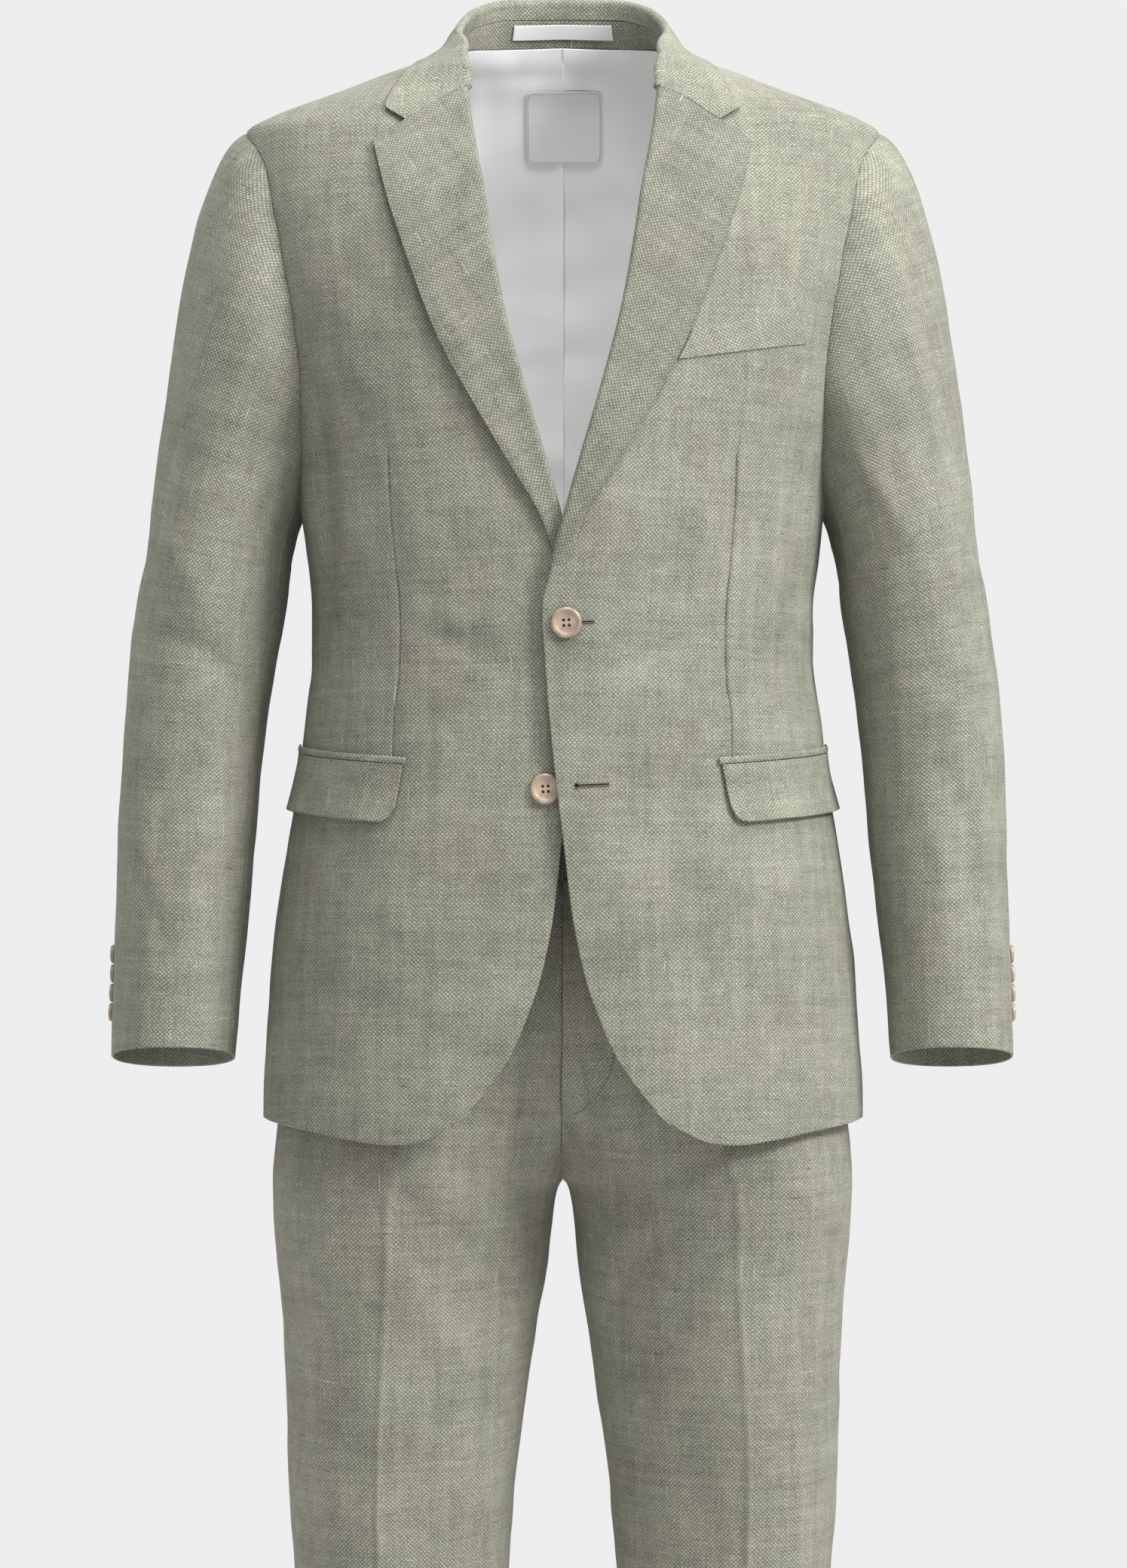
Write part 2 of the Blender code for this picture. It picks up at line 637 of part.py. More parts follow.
def pocket_z(angle):
    """The height of the hip pocket's mouth."""
    return -0.4588 - 0.0090 * angle / 59.0


def build_hip_pockets():
    """A jet along each pocket's mouth and the flap that hangs from under it."""
    angle = np.linspace(-1.5, 59.1, 10)[None, :]
    z = pocket_z(angle) + np.array([0.0046, 0.0])[:, None]
    add_pair("pocket_jet", body(angle + 0 * z, z, LAY_GAP + CLOTH + 0 * z))
    angle = np.array([-2.5, 4.0, 12.0, 20.0, 28.0, 36.0, 44.0, 50.0, 53.5, 56.5, 58.7])
    corner = np.array([0.0, 0.0, 0.0, 0.0, 0.0, 0.0, 0.0, 0.0, 0.0012, 0.0040, 0.0110])
    share = np.array([0.0, 0.45, 1.0])[:, None]
    top = pocket_z(angle)[None, :] - SEAM_GAP
    z = top + (-0.0388 + corner)[None, :] * share
    lean = -3.0 * share * ease((angle - 36) / 22)[None, :]
    stand_off = 0.0016 + 0.0016 * ease((24 - angle) / 20)[None, :]
    lift = LAY_GAP + CLOTH + stand_off * share * share
    add_pair("pocket_flap", body(angle[None, :] + lean, z, lift + 0 * z))


def build_breast_welt():
    """The welt of the chest pocket, from the lapel's edge outwards."""
    across = np.linspace(0, 1, 7)[None, :]
    down = np.array([0.0, 1.0])[:, None]
    outer_x = 0.1626 - 0.0012 * down
    z_outer = -0.1662 - 0.0215 * down
    z_inner = -0.1790 - 0.0213 * down
    inner_x = smooth(LAPEL_EDGE, z_inner, 1) + 0.0012
    x = outer_x + (inner_x - outer_x) * across
    z = z_outer + (z_inner - z_outer) * across
    add_cloth("breast_welt", body(front_angle(x, z), z, LAY_GAP + CLOTH + 0 * x))


def add_button(name, across, thick, steps, centre, normal):
    """A turned button with a raised rim, its back flat on the cloth."""
    r = across / 2
    profile = (
        (0.0, 0.0),
        (r * 0.94, 0.0),
        (r, thick * 0.30),
        (r, thick * 0.72),
        (r * 0.88, thick),
        (r * 0.68, thick * 0.74),
        (0.0, thick * 0.66),
    )
    mesh = bpy.data.meshes.new(name)
    mesh.from_pydata([(x, 0, z) for x, z in profile], [(i, i + 1) for i in range(6)], [])
    obj = add_object(name, mesh, "button")
    turned = obj.modifiers.new("Turn", "SCREW")
    turned.axis = "Z"
    turned.steps = steps
    turned.render_steps = steps
    turned.use_merge_vertices = True
    turned.merge_threshold = 0.00005
    turned.use_normal_calculate = True
    turned.use_smooth_shade = True
    up = Vector(normal)
    turn = up.to_track_quat("Z", "Y").to_matrix().to_4x4()
    obj.matrix_world = Matrix.Translation(Vector(centre)) @ turn


def on_front(x, z, lift):
    """A place on the front and the way out of it."""
    angle = front_angle(np.array(x), np.array(z))
    foot = body(angle, np.array(z), 0.0)
    top = body(angle, np.array(z), 1.0)
    normal = top - foot
    return foot + normal * lift, normal


def build_front_buttons():
    place, normal = on_front(0.0024, -0.3743, OVERLAP_LIFT + BUTTON_GAP)
    add_button("front_button_top", FRONT_BUTTON, 0.0026, 22, place, normal)
    place, normal = on_front(-0.0113, -0.4843, BUTTON_GAP)
    add_button("front_button_lower", FRONT_BUTTON, 0.0026, 22, place, normal)


def build_cuff_buttons():
    """Four touching buttons up the back of each cuff, at the outside."""
    for number in range(4):
        z = -0.5950 - number * (CUFF_BUTTON + 0.0004)
        here = sleeve_ring(np.array(-9.0), np.array(z))
        round_it = sleeve_ring(np.array(-8.0), np.array(z)) - sleeve_ring(np.array(-10.0), np.array(z))
        down_it = sleeve_ring(np.array(-9.0), np.array(z - 0.005)) - here
        normal = np.cross(round_it, down_it)
        normal = normal / np.linalg.norm(normal)
        place = here + normal * BUTTON_GAP
        for side, sign in (("left", 1.0), ("right", -1.0)):
            flip = np.array([sign, 1.0, 1.0])
            name = f"cuff_button_{side}_{number + 1}"
            add_button(name, CUFF_BUTTON, 0.0030, 12, place * flip, normal * flip)


def leg(turn, z):
    """A point of a trouser leg: degrees from the outside round the front, height."""
    outer, inner = smooth(LEG, z, 1), smooth(LEG, z, 2)
    front, back = smooth(LEG, z, 3), smooth(LEG, z, 4)
    middle_y, crease = smooth(LEG, z, 5), smooth(LEG, z, 6)
    c, s = np.cos(np.radians(turn)), np.sin(np.radians(turn))
    across = power(c, 2 / LEG_CREASE_POWER)
    middle, half = (outer + inner) / 2, (outer - inner) / 2
    deep = np.where(s > 0, front, back)
    x = middle + half * across + crease * (1 - across * across)
    y = middle_y - deep * power(s, 2 / LEG_SIDE_POWER)
    return np.stack([x, y, z + 0 * x], -1)


def inseam_turn(z):
    """How far round the leg's section reaches before the centre plane or its inside seam."""
    low, high = np.full(z.shape, 60.0), np.full(z.shape, 180.0)
    for _ in range(40):
        mid = (low + high) / 2
        past = leg(mid, z)[..., 0] < 0
        high = np.where(past, mid, high)
        low = np.where(past, low, mid)
    return high


def build_trouser_panels():
    """Fronts and backs, from the waist seam to the hems, split at the side and the inside of each leg."""
    z = np.array([
        -0.5453, -0.585, -0.625, -0.660, -0.690, -0.712, -0.730, -0.744, -0.753, -0.768, -0.800,
        -0.850, -0.930, -1.020, -1.200, -1.400, -1.550,
    ])[:, None]
    share = np.array([0.0, 0.04, 0.16, 0.34, 0.50, 0.66, 0.84, 0.96, 1.0])[None, :]
    half = SEAM_GAP / 2
    end = inseam_turn(z)
    front = leg(end * share, z + 0 * share)
    add_pair("trouser_front", inset(front, first=half, last=half))
    back = leg(-end * share[:, ::-1], z + 0 * share)
    add_pair("trouser_back", inset(back, first=half, last=half))


def build_waistband():
    """The band in two halves, meeting at the centre front and the centre back."""
    z = np.array([WAISTBAND_TOP, WAISTBAND_SEAM])[:, None]
    end = inseam_turn(z)
    share = np.linspace(-1, 1, 15)[None, :]
    grid = leg(end * share, z + 0 * share)
    half = SEAM_GAP / 2
    add_pair("waistband", inset(grid, first=half, last=half), thickness=0.0020)


def clear_scene():
    for obj in list(bpy.data.objects):
        bpy.data.objects.remove(obj, do_unlink=True)


def main():
    clear_scene()
    collection_named("suit")
    build_fronts()
    build_sides()
    build_backs()
    build_lining()
    build_sleeves()
    build_lapels()
    build_collar()
    build_collar_stand()
    build_hanger_band()
    build_label()
    build_hip_pockets()
    build_breast_welt()
    build_front_buttons()
    build_cuff_buttons()
    build_trouser_panels()
    build_waistband()


main()
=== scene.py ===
"""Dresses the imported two-piece linen suit and sets the stage.

Every cloth piece is a thin shell on its solid's own form, with a rounded edge, its creases and a
place on the flat cut, in metres, that carries the weave. The seams, stitching, buttons and
buttonholes lie on those shells. Metres, +Z up, the front faces -Y, the wearer's left is +X.
"""

import math

import bpy
import numpy as np
from mathutils import Matrix, Vector


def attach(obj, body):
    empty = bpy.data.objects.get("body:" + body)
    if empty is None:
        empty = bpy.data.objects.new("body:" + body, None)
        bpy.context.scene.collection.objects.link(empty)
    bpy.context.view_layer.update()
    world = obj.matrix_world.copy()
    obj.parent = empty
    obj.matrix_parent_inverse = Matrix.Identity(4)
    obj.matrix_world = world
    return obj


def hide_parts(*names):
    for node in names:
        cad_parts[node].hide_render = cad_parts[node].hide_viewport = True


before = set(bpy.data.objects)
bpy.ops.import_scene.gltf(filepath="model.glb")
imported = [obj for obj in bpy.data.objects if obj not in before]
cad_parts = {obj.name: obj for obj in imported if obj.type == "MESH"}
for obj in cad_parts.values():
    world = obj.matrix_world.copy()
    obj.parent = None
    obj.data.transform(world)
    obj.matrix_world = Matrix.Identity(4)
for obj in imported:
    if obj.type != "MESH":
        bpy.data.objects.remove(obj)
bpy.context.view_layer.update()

bl_info = {
    "name": "Linen suit",
    "version": (1, 0, 0),
    "blender": (4, 5, 0),
    "location": "View3D > Sidebar > Suit",
    "description": "Cloth shells, sewing, buttons and a stage for a two-piece linen suit",
    "category": "Object",
}

# The jacket's body in level sections: height, half width, front depth, back depth, middle's y.
BODY = np.array([
    (-0.740, 0.2026, 0.133, 0.147, 0.000),
    (-0.686, 0.2028, 0.133, 0.147, 0.000),
    (-0.645, 0.2001, 0.133, 0.145, 0.000),
    (-0.604, 0.1969, 0.132, 0.140, 0.000),
    (-0.563, 0.1928, 0.131, 0.132, 0.000),
    (-0.522, 0.1862, 0.130, 0.121, 0.000),
    (-0.481, 0.1795, 0.129, 0.110, 0.001),
    (-0.440, 0.1750, 0.129, 0.106, 0.002),
    (-0.399, 0.1703, 0.129, 0.105, 0.003),
    (-0.358, 0.1697, 0.131, 0.108, 0.004),
    (-0.317, 0.1738, 0.132, 0.114, 0.004),
    (-0.268, 0.1791, 0.131, 0.121, 0.004),
    (-0.206, 0.1918, 0.129, 0.125, 0.005),
    (-0.142, 0.2075, 0.120, 0.122, 0.006),
    (-0.090, 0.2156, 0.106, 0.114, 0.006),
    (-0.062, 0.2166, 0.094, 0.106, 0.007),
    (-0.038, 0.2148, 0.082, 0.098, 0.008),
    (-0.031, 0.2035, 0.079, 0.096, 0.008),
    (-0.010, 0.1490, 0.069, 0.087, 0.010),
    (0.003, 0.1150, 0.063, 0.079, 0.011),
    (0.010, 0.0940, 0.060, 0.075, 0.012),
    (0.016, 0.0800, 0.057, 0.071, 0.012),
    (0.022, 0.0735, 0.054, 0.067, 0.013),
    (0.030, 0.0695, 0.051, 0.063, 0.014),
    (0.045, 0.0655, 0.048, 0.058, 0.015),
    (0.070, 0.0630, 0.047, 0.056, 0.015),
])

# The armhole: height, angle on the front, angle on the back, in degrees from the side.
ARMHOLE = np.array([
    (-0.302, 0.0, 0.0),
    (-0.287, 11.0, -9.0),
    (-0.262, 18.0, -17.0),
    (-0.237, 22.1, -22.0),
    (-0.215, 25.7, -24.4),
    (-0.185, 28.2, -26.4),
    (-0.154, 29.8, -27.0),
    (-0.123, 29.7, -26.4),
    (-0.094, 28.3, -25.0),
    (-0.067, 25.3, -22.0),
    (-0.050, 17.8, -16.0),
    (-0.038, 0.0, 0.0),
])
SHOULDER_TIP_Z = -0.038
FRONT_SEAM_TOP = -0.287
BACK_SEAM_TOP = -0.215
FRONT_SEAM_ANGLE = 11.0
SIDE_HEM_Z = -0.7065
BACK_HEM_Z = -0.7080
FRONT_TOP_Z = 0.014
BACK_SEAM = np.array([(-0.705, -32.0), (-0.45, -31.0), (-0.33, -28.0), (-0.215, -24.4)])

# The lapel's roll line and the front edge below it: height and distance from the centre.
FRONT_EDGE = np.array([
    (-0.7031, 0.0664),
    (-0.6801, 0.0479),
    (-0.6602, 0.0345),
    (-0.6343, 0.0231),
    (-0.6060, 0.0137),
    (-0.5678, 0.0060),
    (-0.5240, 0.0007),
    (-0.4619, -0.0067),
    (-0.3977, -0.0122),
    (-0.3693, -0.0137),
    (-0.3594, -0.0132),
    (-0.3450, -0.0098),
    (-0.3340, -0.0077),
    (-0.3027, 0.0005),
    (-0.2720, 0.0090),
    (-0.2224, 0.0235),
    (-0.1650, 0.0385),
    (-0.1210, 0.0465),
    (-0.0830, 0.0522),
    (-0.0450, 0.0592),
    (-0.0127, 0.0635),
])
LAPEL_END_Z = -0.358
LAPEL_EDGE = np.array([
    (-0.3580, -0.0095),
    (-0.3400, 0.0010),
    (-0.3305, 0.0052),
    (-0.3052, 0.0142),
    (-0.2693, 0.0351),
    (-0.2247, 0.0610),
    (-0.1855, 0.0821),
    (-0.1336, 0.1018),
    (-0.0863, 0.1175),
    (-0.0526, 0.1262),
])
# The gorge seam from the roll line to the notch, then the notch's slit to the collar's tip: x, z.
GORGE = np.array([
    (0.0636, -0.0139),
    (0.0730, -0.0178),
    (0.0827, -0.0228),
    (0.0912, -0.0288),
    (0.1043, -0.0376),
    (0.1180, -0.0293),
])
# Hem of the front: share of the way from side seam to front edge, height.
FRONT_HEM = np.array([
    (0.00, -0.7065),
    (0.40, -0.7120),
    (0.63, -0.7176),
    (0.765, -0.7201),
    (0.86, -0.7183),
    (0.925, -0.7125),
    (1.00, -0.7031),
])

# The collar by angle from the centre back: its fold's height, its fall edge's angle and height,
# and the height of the leaf inside it.
COLLAR = np.array([
    (0.0, 0.0603, 0.0, 0.0150, 0.0110),
    (30.0, 0.0592, 30.0, 0.0145, 0.0110),
    (55.0, 0.0532, 55.0, 0.0128, 0.0105),
    (78.0, 0.0432, 76.0, 0.0105, 0.0095),
    (98.0, 0.0322, 96.0, 0.0092, 0.0080),
    (119.0, 0.0240, 117.0, 0.0048, 0.0060),
    (136.0, 0.0145, 130.5, -0.0040, 0.0050),
    (151.0, 0.0043, 141.5, -0.0165, 0.0045),
    (159.8, -0.0111, 149.1, -0.0298, 0.0015),
])
NECK_SEAM = np.array([(0.0, 0.0272), (55.0, 0.0235), (90.0, 0.0175), (105.0, 0.0155)])
STAND_END_ANGLE = 104.0
COLLAR_ROLL = 0.0030
NECK_END_ANGLE = 159.8
# From where the collar runs towards the gorge, and from where its roll is tucked into the lapel's.
GORGE_START_ANGLE = 130.0
TUCK_ANGLE = 159.6

# The sleeve below the armpit: height, outer x, inner x, front y, back y.
SLEEVE = np.array([
    (-0.675, 0.3042, 0.2218, -0.076, 0.022),
    (-0.625, 0.3028, 0.2188, -0.074, 0.030),
    (-0.563, 0.3018, 0.2120, -0.071, 0.042),
    (-0.522, 0.3007, 0.2085, -0.070, 0.048),
    (-0.481, 0.2995, 0.2050, -0.068, 0.055),
    (-0.440, 0.2970, 0.2004, -0.067, 0.061),
    (-0.399, 0.2932, 0.1953, -0.067, 0.066),
    (-0.358, 0.2885, 0.1883, -0.067, 0.070),
    (-0.330, 0.2825, 0.1845, -0.067, 0.072),
])
BICEP_Z = -0.330
CUFF_Z = -0.6655
CUFF_TILT = math.tan(math.radians(9.8))
SLEEVE_FRONT_TURN = 158
SLEEVE_BACK_TURN = 292

# The trousers: height, outer x, inner x (under 0 above the crotch), front depth, back depth,
# middle's y, how far the crease sits outside the leg's middle.
LEG = np.array([
    (-1.550, 0.1680, 0.0520, 0.062, 0.066, 0.012, 0.008),
    (-1.400, 0.1700, 0.0500, 0.064, 0.070, 0.012, 0.010),
    (-1.200, 0.1740, 0.0450, 0.071, 0.078, 0.010, 0.012),
    (-1.013, 0.1810, 0.0376, 0.080, 0.086, 0.006, 0.014),
    (-0.952, 0.1860, 0.0320, 0.084, 0.091, 0.004, 0.015),
    (-0.911, 0.1875, 0.0264, 0.087, 0.095, 0.003, 0.016),
    (-0.850, 0.1892, 0.0177, 0.092, 0.102, 0.002, 0.016),
    (-0.809, 0.1922, 0.0105, 0.096, 0.108, 0.001, 0.016),
    (-0.768, 0.1957, 0.0062, 0.100, 0.114, 0.000, 0.016),
    (-0.758, 0.1961, 0.0042, 0.101, 0.115, 0.000, 0.016),
    (-0.752, 0.1963, 0.0020, 0.102, 0.116, 0.000, 0.017),
    (-0.749, 0.1963, -0.0008, 0.102, 0.116, 0.000, 0.017),
    (-0.727, 0.1950, -0.0120, 0.104, 0.116, 0.000, 0.018),
    (-0.690, 0.1905, -0.0500, 0.104, 0.116, 0.000, 0.024),
    (-0.650, 0.1835, -0.0950, 0.104, 0.115, 0.000, 0.024),
    (-0.600, 0.1720, -0.1250, 0.102, 0.108, 0.000, 0.018),
    (-0.545, 0.1580, -0.1380, 0.101, 0.098, 0.000, 0.010),
    (-0.505, 0.1540, -0.1400, 0.100, 0.094, 0.000, 0.008),
])
WAISTBAND_TOP = -0.505
WAISTBAND_SEAM = -0.545
TROUSER_HEM = -1.550

TORSO_POWER = 2.5
SLEEVE_POWER = 2.2
LEG_SIDE_POWER = 2.4
LEG_CREASE_POWER = 1.65
LAY_GAP = 0.0009
OVERLAP_LIFT = 0.0070
FACING_WIDTH = 0.034
LAPEL_GRAIN = -17.0
LAPEL_SINK_Z = -0.345
WAISTBAND_CLOTH = 0.0020
LABEL_CLOTH = 0.0004
WELT_CLOTH = 0.0008
BAND_CLOTH = 0.0007
# What a crease's table height is multiplied by, and how deep the finer rumples are.
CREASE_DEPTH = 1.25
BODY_RUMPLE, SLEEVE_RUMPLE, LEG_RUMPLE = 0.0017, 0.0016, 0.0017
PRESSED_WIDTH, PRESSED_HEIGHT = 0.0028, 0.0016

# Front darts: distance from the centre and height, from the pocket's mouth up to the chest.
DART = np.array([
    (0.1157, -0.2619),
    (0.1147, -0.2944),
    (0.1112, -0.3339),
    (0.1079, -0.3673),
    (0.1077, -0.3838),
    (0.1087, -0.4136),
    (0.1122, -0.4368),
    (0.1129, -0.4613),
])
# The fly's curved stitch line on the wearer's left, seen from the front: x, z.
FLY_LINE = np.array([
    (0.0345, -0.5460),
    (0.0350, -0.6200),
    (0.0352, -0.6550),
    (0.0318, -0.6740),
    (0.0240, -0.6880),
    (0.0130, -0.6990),
    (0.0010, -0.7040),
])

# Soft creases: place across, place down, length, width, lean in degrees from upright, height.
# On the body's front and back the first is x, seen from the front.
FRONT_CREASES = np.array([
    (0.158, -0.300, 0.150, 0.0060, 3.0, -0.0022),
    (0.168, -0.285, 0.170, 0.0075, 2.0, 0.0020),
    (0.147, -0.330, 0.120, 0.0080, -4.0, 0.0011),
    (0.130, -0.200, 0.110, 0.0130, 16.0, 0.0010),
    (0.150, -0.120, 0.090, 0.0140, 8.0, -0.0010),
    (0.080, -0.290, 0.130, 0.0160, -24.0, 0.0008),
    (0.062, -0.375, 0.110, 0.0090, 78.0, 0.0008),
    (0.055, -0.395, 0.090, 0.0070, 66.0, -0.0007),
    (0.120, -0.545, 0.150, 0.0150, 6.0, 0.0009),
    (0.070, -0.560, 0.170, 0.0180, -8.0, -0.0009),
    (0.165, -0.600, 0.140, 0.0120, 3.0, -0.0012),
])
BACK_CREASES = np.array([
    (0.155, -0.270, 0.180, 0.0080, 6.0, 0.0024),
    (0.140, -0.300, 0.150, 0.0080, 10.0, -0.0020),
    (0.085, -0.110, 0.130, 0.0160, 20.0, 0.0012),
    (0.040, -0.060, 0.100, 0.0120, 70.0, -0.0009),
    (0.060, -0.380, 0.120, 0.0100, 74.0, 0.0011),
    (0.055, -0.410, 0.110, 0.0090, 80.0, -0.0010),
    (0.100, -0.560, 0.180, 0.0150, 5.0, 0.0012),
    (0.145, -0.600, 0.150, 0.0130, -3.0, -0.0013),
])
# On a sleeve: turn round it in degrees from the outside, height, and so on.
SLEEVE_CREASES = np.array([
    (62.0, -0.150, 0.150, 0.0080, 10.0, 0.0016),
    (88.0, -0.200, 0.150, 0.0070, -4.0, -0.0015),
    (45.0, -0.260, 0.130, 0.0100, 14.0, -0.0011),
    (100.0, -0.300, 0.100, 0.0080, 24.0, 0.0014),
    (70.0, -0.345, 0.100, 0.0100, -40.0, 0.0012),
    (85.0, -0.395, 0.090, 0.0080, -58.0, -0.0013),
    (60.0, -0.445, 0.080, 0.0100, 50.0, 0.0011),
    (78.0, -0.500, 0.090, 0.0080, 18.0, -0.0015),
    (55.0, -0.520, 0.100, 0.0090, -10.0, 0.0013),
    (95.0, -0.545, 0.090, 0.0080, 6.0, 0.0014),
    (68.0, -0.575, 0.070, 0.0080, -24.0, -0.0013),
    (230.0, -0.180, 0.130, 0.0110, 8.0, 0.0014),
    (205.0, -0.310, 0.120, 0.0080, 30.0, -0.0015),
    (235.0, -0.360, 0.110, 0.0080, -50.0, 0.0018),
    (250.0, -0.400, 0.100, 0.0080, -62.0, -0.0016),
    (300.0, -0.330, 0.110, 0.0080, 48.0, 0.0015),
    (285.0, -0.500, 0.110, 0.0100, 12.0, 0.0012),
    (320.0, -0.240, 0.130, 0.0110, 6.0, -0.0011),
])
# On a trouser leg: turn round it in degrees from the outside, height, and so on.
LEG_CREASES = np.array([
    (118.0, -0.760, 0.110, 0.0090, -52.0, 0.0018),
    (128.0, -0.790, 0.120, 0.0080, -40.0, -0.0017),
    (112.0, -0.735, 0.090, 0.0080, -64.0, -0.0014),
    (108.0, -0.830, 0.120, 0.0100, -28.0, 0.0015),
    (60.0, -0.760, 0.120, 0.0120, 20.0, 0.0010),
    (66.0, -0.900, 0.150, 0.0140, -8.0, -0.0011),
    (120.0, -0.930, 0.120, 0.0120, 14.0, -0.0012),
    (104.0, -1.090, 0.140, 0.0110, -66.0, 0.0014),
    (75.0, -1.120, 0.120, 0.0100, 62.0, -0.0012),
    (100.0, -1.330, 0.160, 0.0130, -18.0, 0.0011),
    (75.0, -1.480, 0.110, 0.0120, 40.0, 0.0013),
    (250.0, -0.800, 0.130, 0.0100, 42.0, 0.0020),
    (240.0, -0.830, 0.120, 0.0090, 50.0, -0.0018),
    (285.0, -0.740, 0.140, 0.0120, -38.0, 0.0014),
    (260.0, -1.080, 0.130, 0.0090, 70.0, 0.0020),
    (275.0, -1.110, 0.130, 0.0090, -66.0, -0.0018),
    (255.0, -1.150, 0.110, 0.0090, 58.0, 0.0014),
    (270.0, -1.420, 0.160, 0.0120, 8.0, -0.0012),
])
# On the lapel: share across from the roll, height, and so on. The width is in metres.
LAPEL_CREASES = np.array([
    (0.055, -0.085, 0.060, 0.0050, -14.0, 0.0007),
    (0.075, -0.100, 0.070, 0.0060, -18.0, -0.0007),
    (0.090, -0.090, 0.060, 0.0060, -16.0, 0.0006),
    (0.045, -0.220, 0.090, 0.0060, 18.0, 0.0005),
])


def smooth(table, where, column):
    """The table's column at a place, on a curve through its rows that never overshoots them."""
    x, y = table[:, 0], table[:, column]
    step = np.diff(x)
    rise = np.diff(y) / step
    slope = np.empty(len(x))
    slope[0], slope[-1] = rise[0], rise[-1]
    before, after = rise[:-1], rise[1:]
    w1 = 2 * step[1:] + step[:-1]
    w2 = step[1:] + 2 * step[:-1]
    same = before * after > 0
    safe_before = np.where(same, before, 1.0)
    safe_after = np.where(same, after, 1.0)
    slope[1:-1] = np.where(same, (w1 + w2) / (w1 / safe_before + w2 / safe_after), 0.0)
    where = np.clip(where, x[0], x[-1])
    i = np.clip(np.searchsorted(x, where) - 1, 0, len(x) - 2)
    f = (where - x[i]) / step[i]
    return (
        (1 + 2 * f) * (1 - f) ** 2 * y[i]
        + f * (1 - f) ** 2 * step[i] * slope[i]
        + f * f * (3 - 2 * f) * y[i + 1]
        + f * f * (f - 1) * step[i] * slope[i + 1]
    )


def ease(x):
    """0 to 1 along an S-shaped curve."""
    x = np.clip(x, 0.0, 1.0)
    return x * x * (3 - 2 * x)


def power(value, exponent):
    """A signed power, for the blunt ovals."""
    return np.sign(value) * np.abs(value) ** exponent


def bump(x, width):
    """A soft hill, 1 at 0."""
    return np.exp(-((x / width) ** 2))


def refined(values, step):
    """The values with others put evenly between them, no further apart than a step."""
    out = []
    for a, b in zip(values[:-1], values[1:]):
        count = max(1, math.ceil(abs(b - a) / step))
        out += list(np.linspace(a, b, count, endpoint=False))
    return np.array(out + [values[-1]])


def body(angle, z, lift=0.0):
    """A point of the jacket's body: degrees from the wearer's left side round the front, height, lift."""
    angle = np.radians(angle)
    c, s = np.cos(angle), np.sin(angle)
    wide = smooth(BODY, z, 1)
    deep = np.where(s > 0, smooth(BODY, z, 2), smooth(BODY, z, 3))
    x = wide * power(c, 2 / TORSO_POWER)
    off = -deep * power(s, 2 / TORSO_POWER)
    here = np.stack([x, smooth(BODY, z, 4) + off, z + 0 * x], -1)
    return here + np.asarray(lift)[..., None] * body_normal(x, off, z, s)


def body_normal(x, off, z, s):
    """The way out of the body's surface, from the slope of its oval sections."""
    h = 0.002

    def level(at):
        wide = smooth(BODY, at, 1)
        deep = np.where(s > 0, smooth(BODY, at, 2), smooth(BODY, at, 3))
        shift = smooth(BODY, at, 4) - smooth(BODY, z, 4)
        return np.abs(x / wide) ** TORSO_POWER + np.abs((off - shift) / deep) ** TORSO_POWER

    wide = smooth(BODY, z, 1)
    deep = np.where(s > 0, smooth(BODY, z, 2), smooth(BODY, z, 3))
    nx = TORSO_POWER / wide * power(x / wide, TORSO_POWER - 1)
    ny = TORSO_POWER / deep * power(off / deep, TORSO_POWER - 1)
    nz = (level(z + h) - level(z - h)) / (2 * h)
    normal = np.stack([nx, ny, nz], -1)
    return normal / np.linalg.norm(normal, axis=-1, keepdims=True)


def front_angle(x, z):
    """The angle on the body's front that is seen at this distance from the centre and height."""
    share = np.clip(x / smooth(BODY, z, 1), -1, 1)
    return np.degrees(np.arccos(power(share, TORSO_POWER / 2)))


def overlap_lift(x, z):
    """How far the left front stands off at the centre, where it lies over the right one."""
    across = ease((0.088 - x) / 0.070)
    return OVERLAP_LIFT * across * ease((-0.130 - z) / 0.140) * ease((z + 0.660) / 0.120)


def hills(u, v, cell, seed):
    """Smooth random heights from -1 to 1, about one hill to a cell."""
    size = 64
    lattice = np.random.default_rng(seed).uniform(-1, 1, (size, size))
    a, b = np.asarray(u) / cell, np.asarray(v) / cell
    i, j = np.floor(a).astype(int), np.floor(b).astype(int)
    f, g = ease(a - i), ease(b - j)
    i, j, i1, j1 = i % size, j % size, (i + 1) % size, (j + 1) % size
    low = lattice[i, j] * (1 - f) + lattice[i1, j] * f
    high = lattice[i, j1] * (1 - f) + lattice[i1, j1] * f
    return low * (1 - g) + high * g


def rumple(u, v, seed):
    """The slight unevenness of pressed linen: broad hills with finer crumples on them."""
    broad = hills(u, v, 0.055, seed) + 0.5 * hills(u, v, 0.026, seed + 1)
    ridged = 1 - 2 * np.abs(hills(u * 0.8 + v * 0.3, v, 0.040, seed + 2))
    fine = hills(u, v * 0.7, 0.011, seed + 3)
    return 0.45 * broad + 0.25 * ridged + 0.14 * fine


def creases(table, across, down, seed):
    """The height of the listed creases: soft, wandering, uneven along their length."""
    total = 0.0 * across
    for n, (x, z, length, width, lean, height) in enumerate(table):
        c, s = math.cos(math.radians(lean)), math.sin(math.radians(lean))
        along = (across - x) * s + (down - z) * c
        off = (across - x) * c - (down - z) * s
        off = off + 0.7 * width * hills(along + 0 * off, 0 * off, 0.045, seed + n)
        swell = 1 + 0.35 * hills(along, off, 0.03, seed + 50 + n)
        total = total + height * swell * np.exp(-((2 * along / length) ** 4)) * bump(off, width)
    return total


def sizes():
    """The sizes that a user can change."""
    return bpy.context.scene.suit_sizes


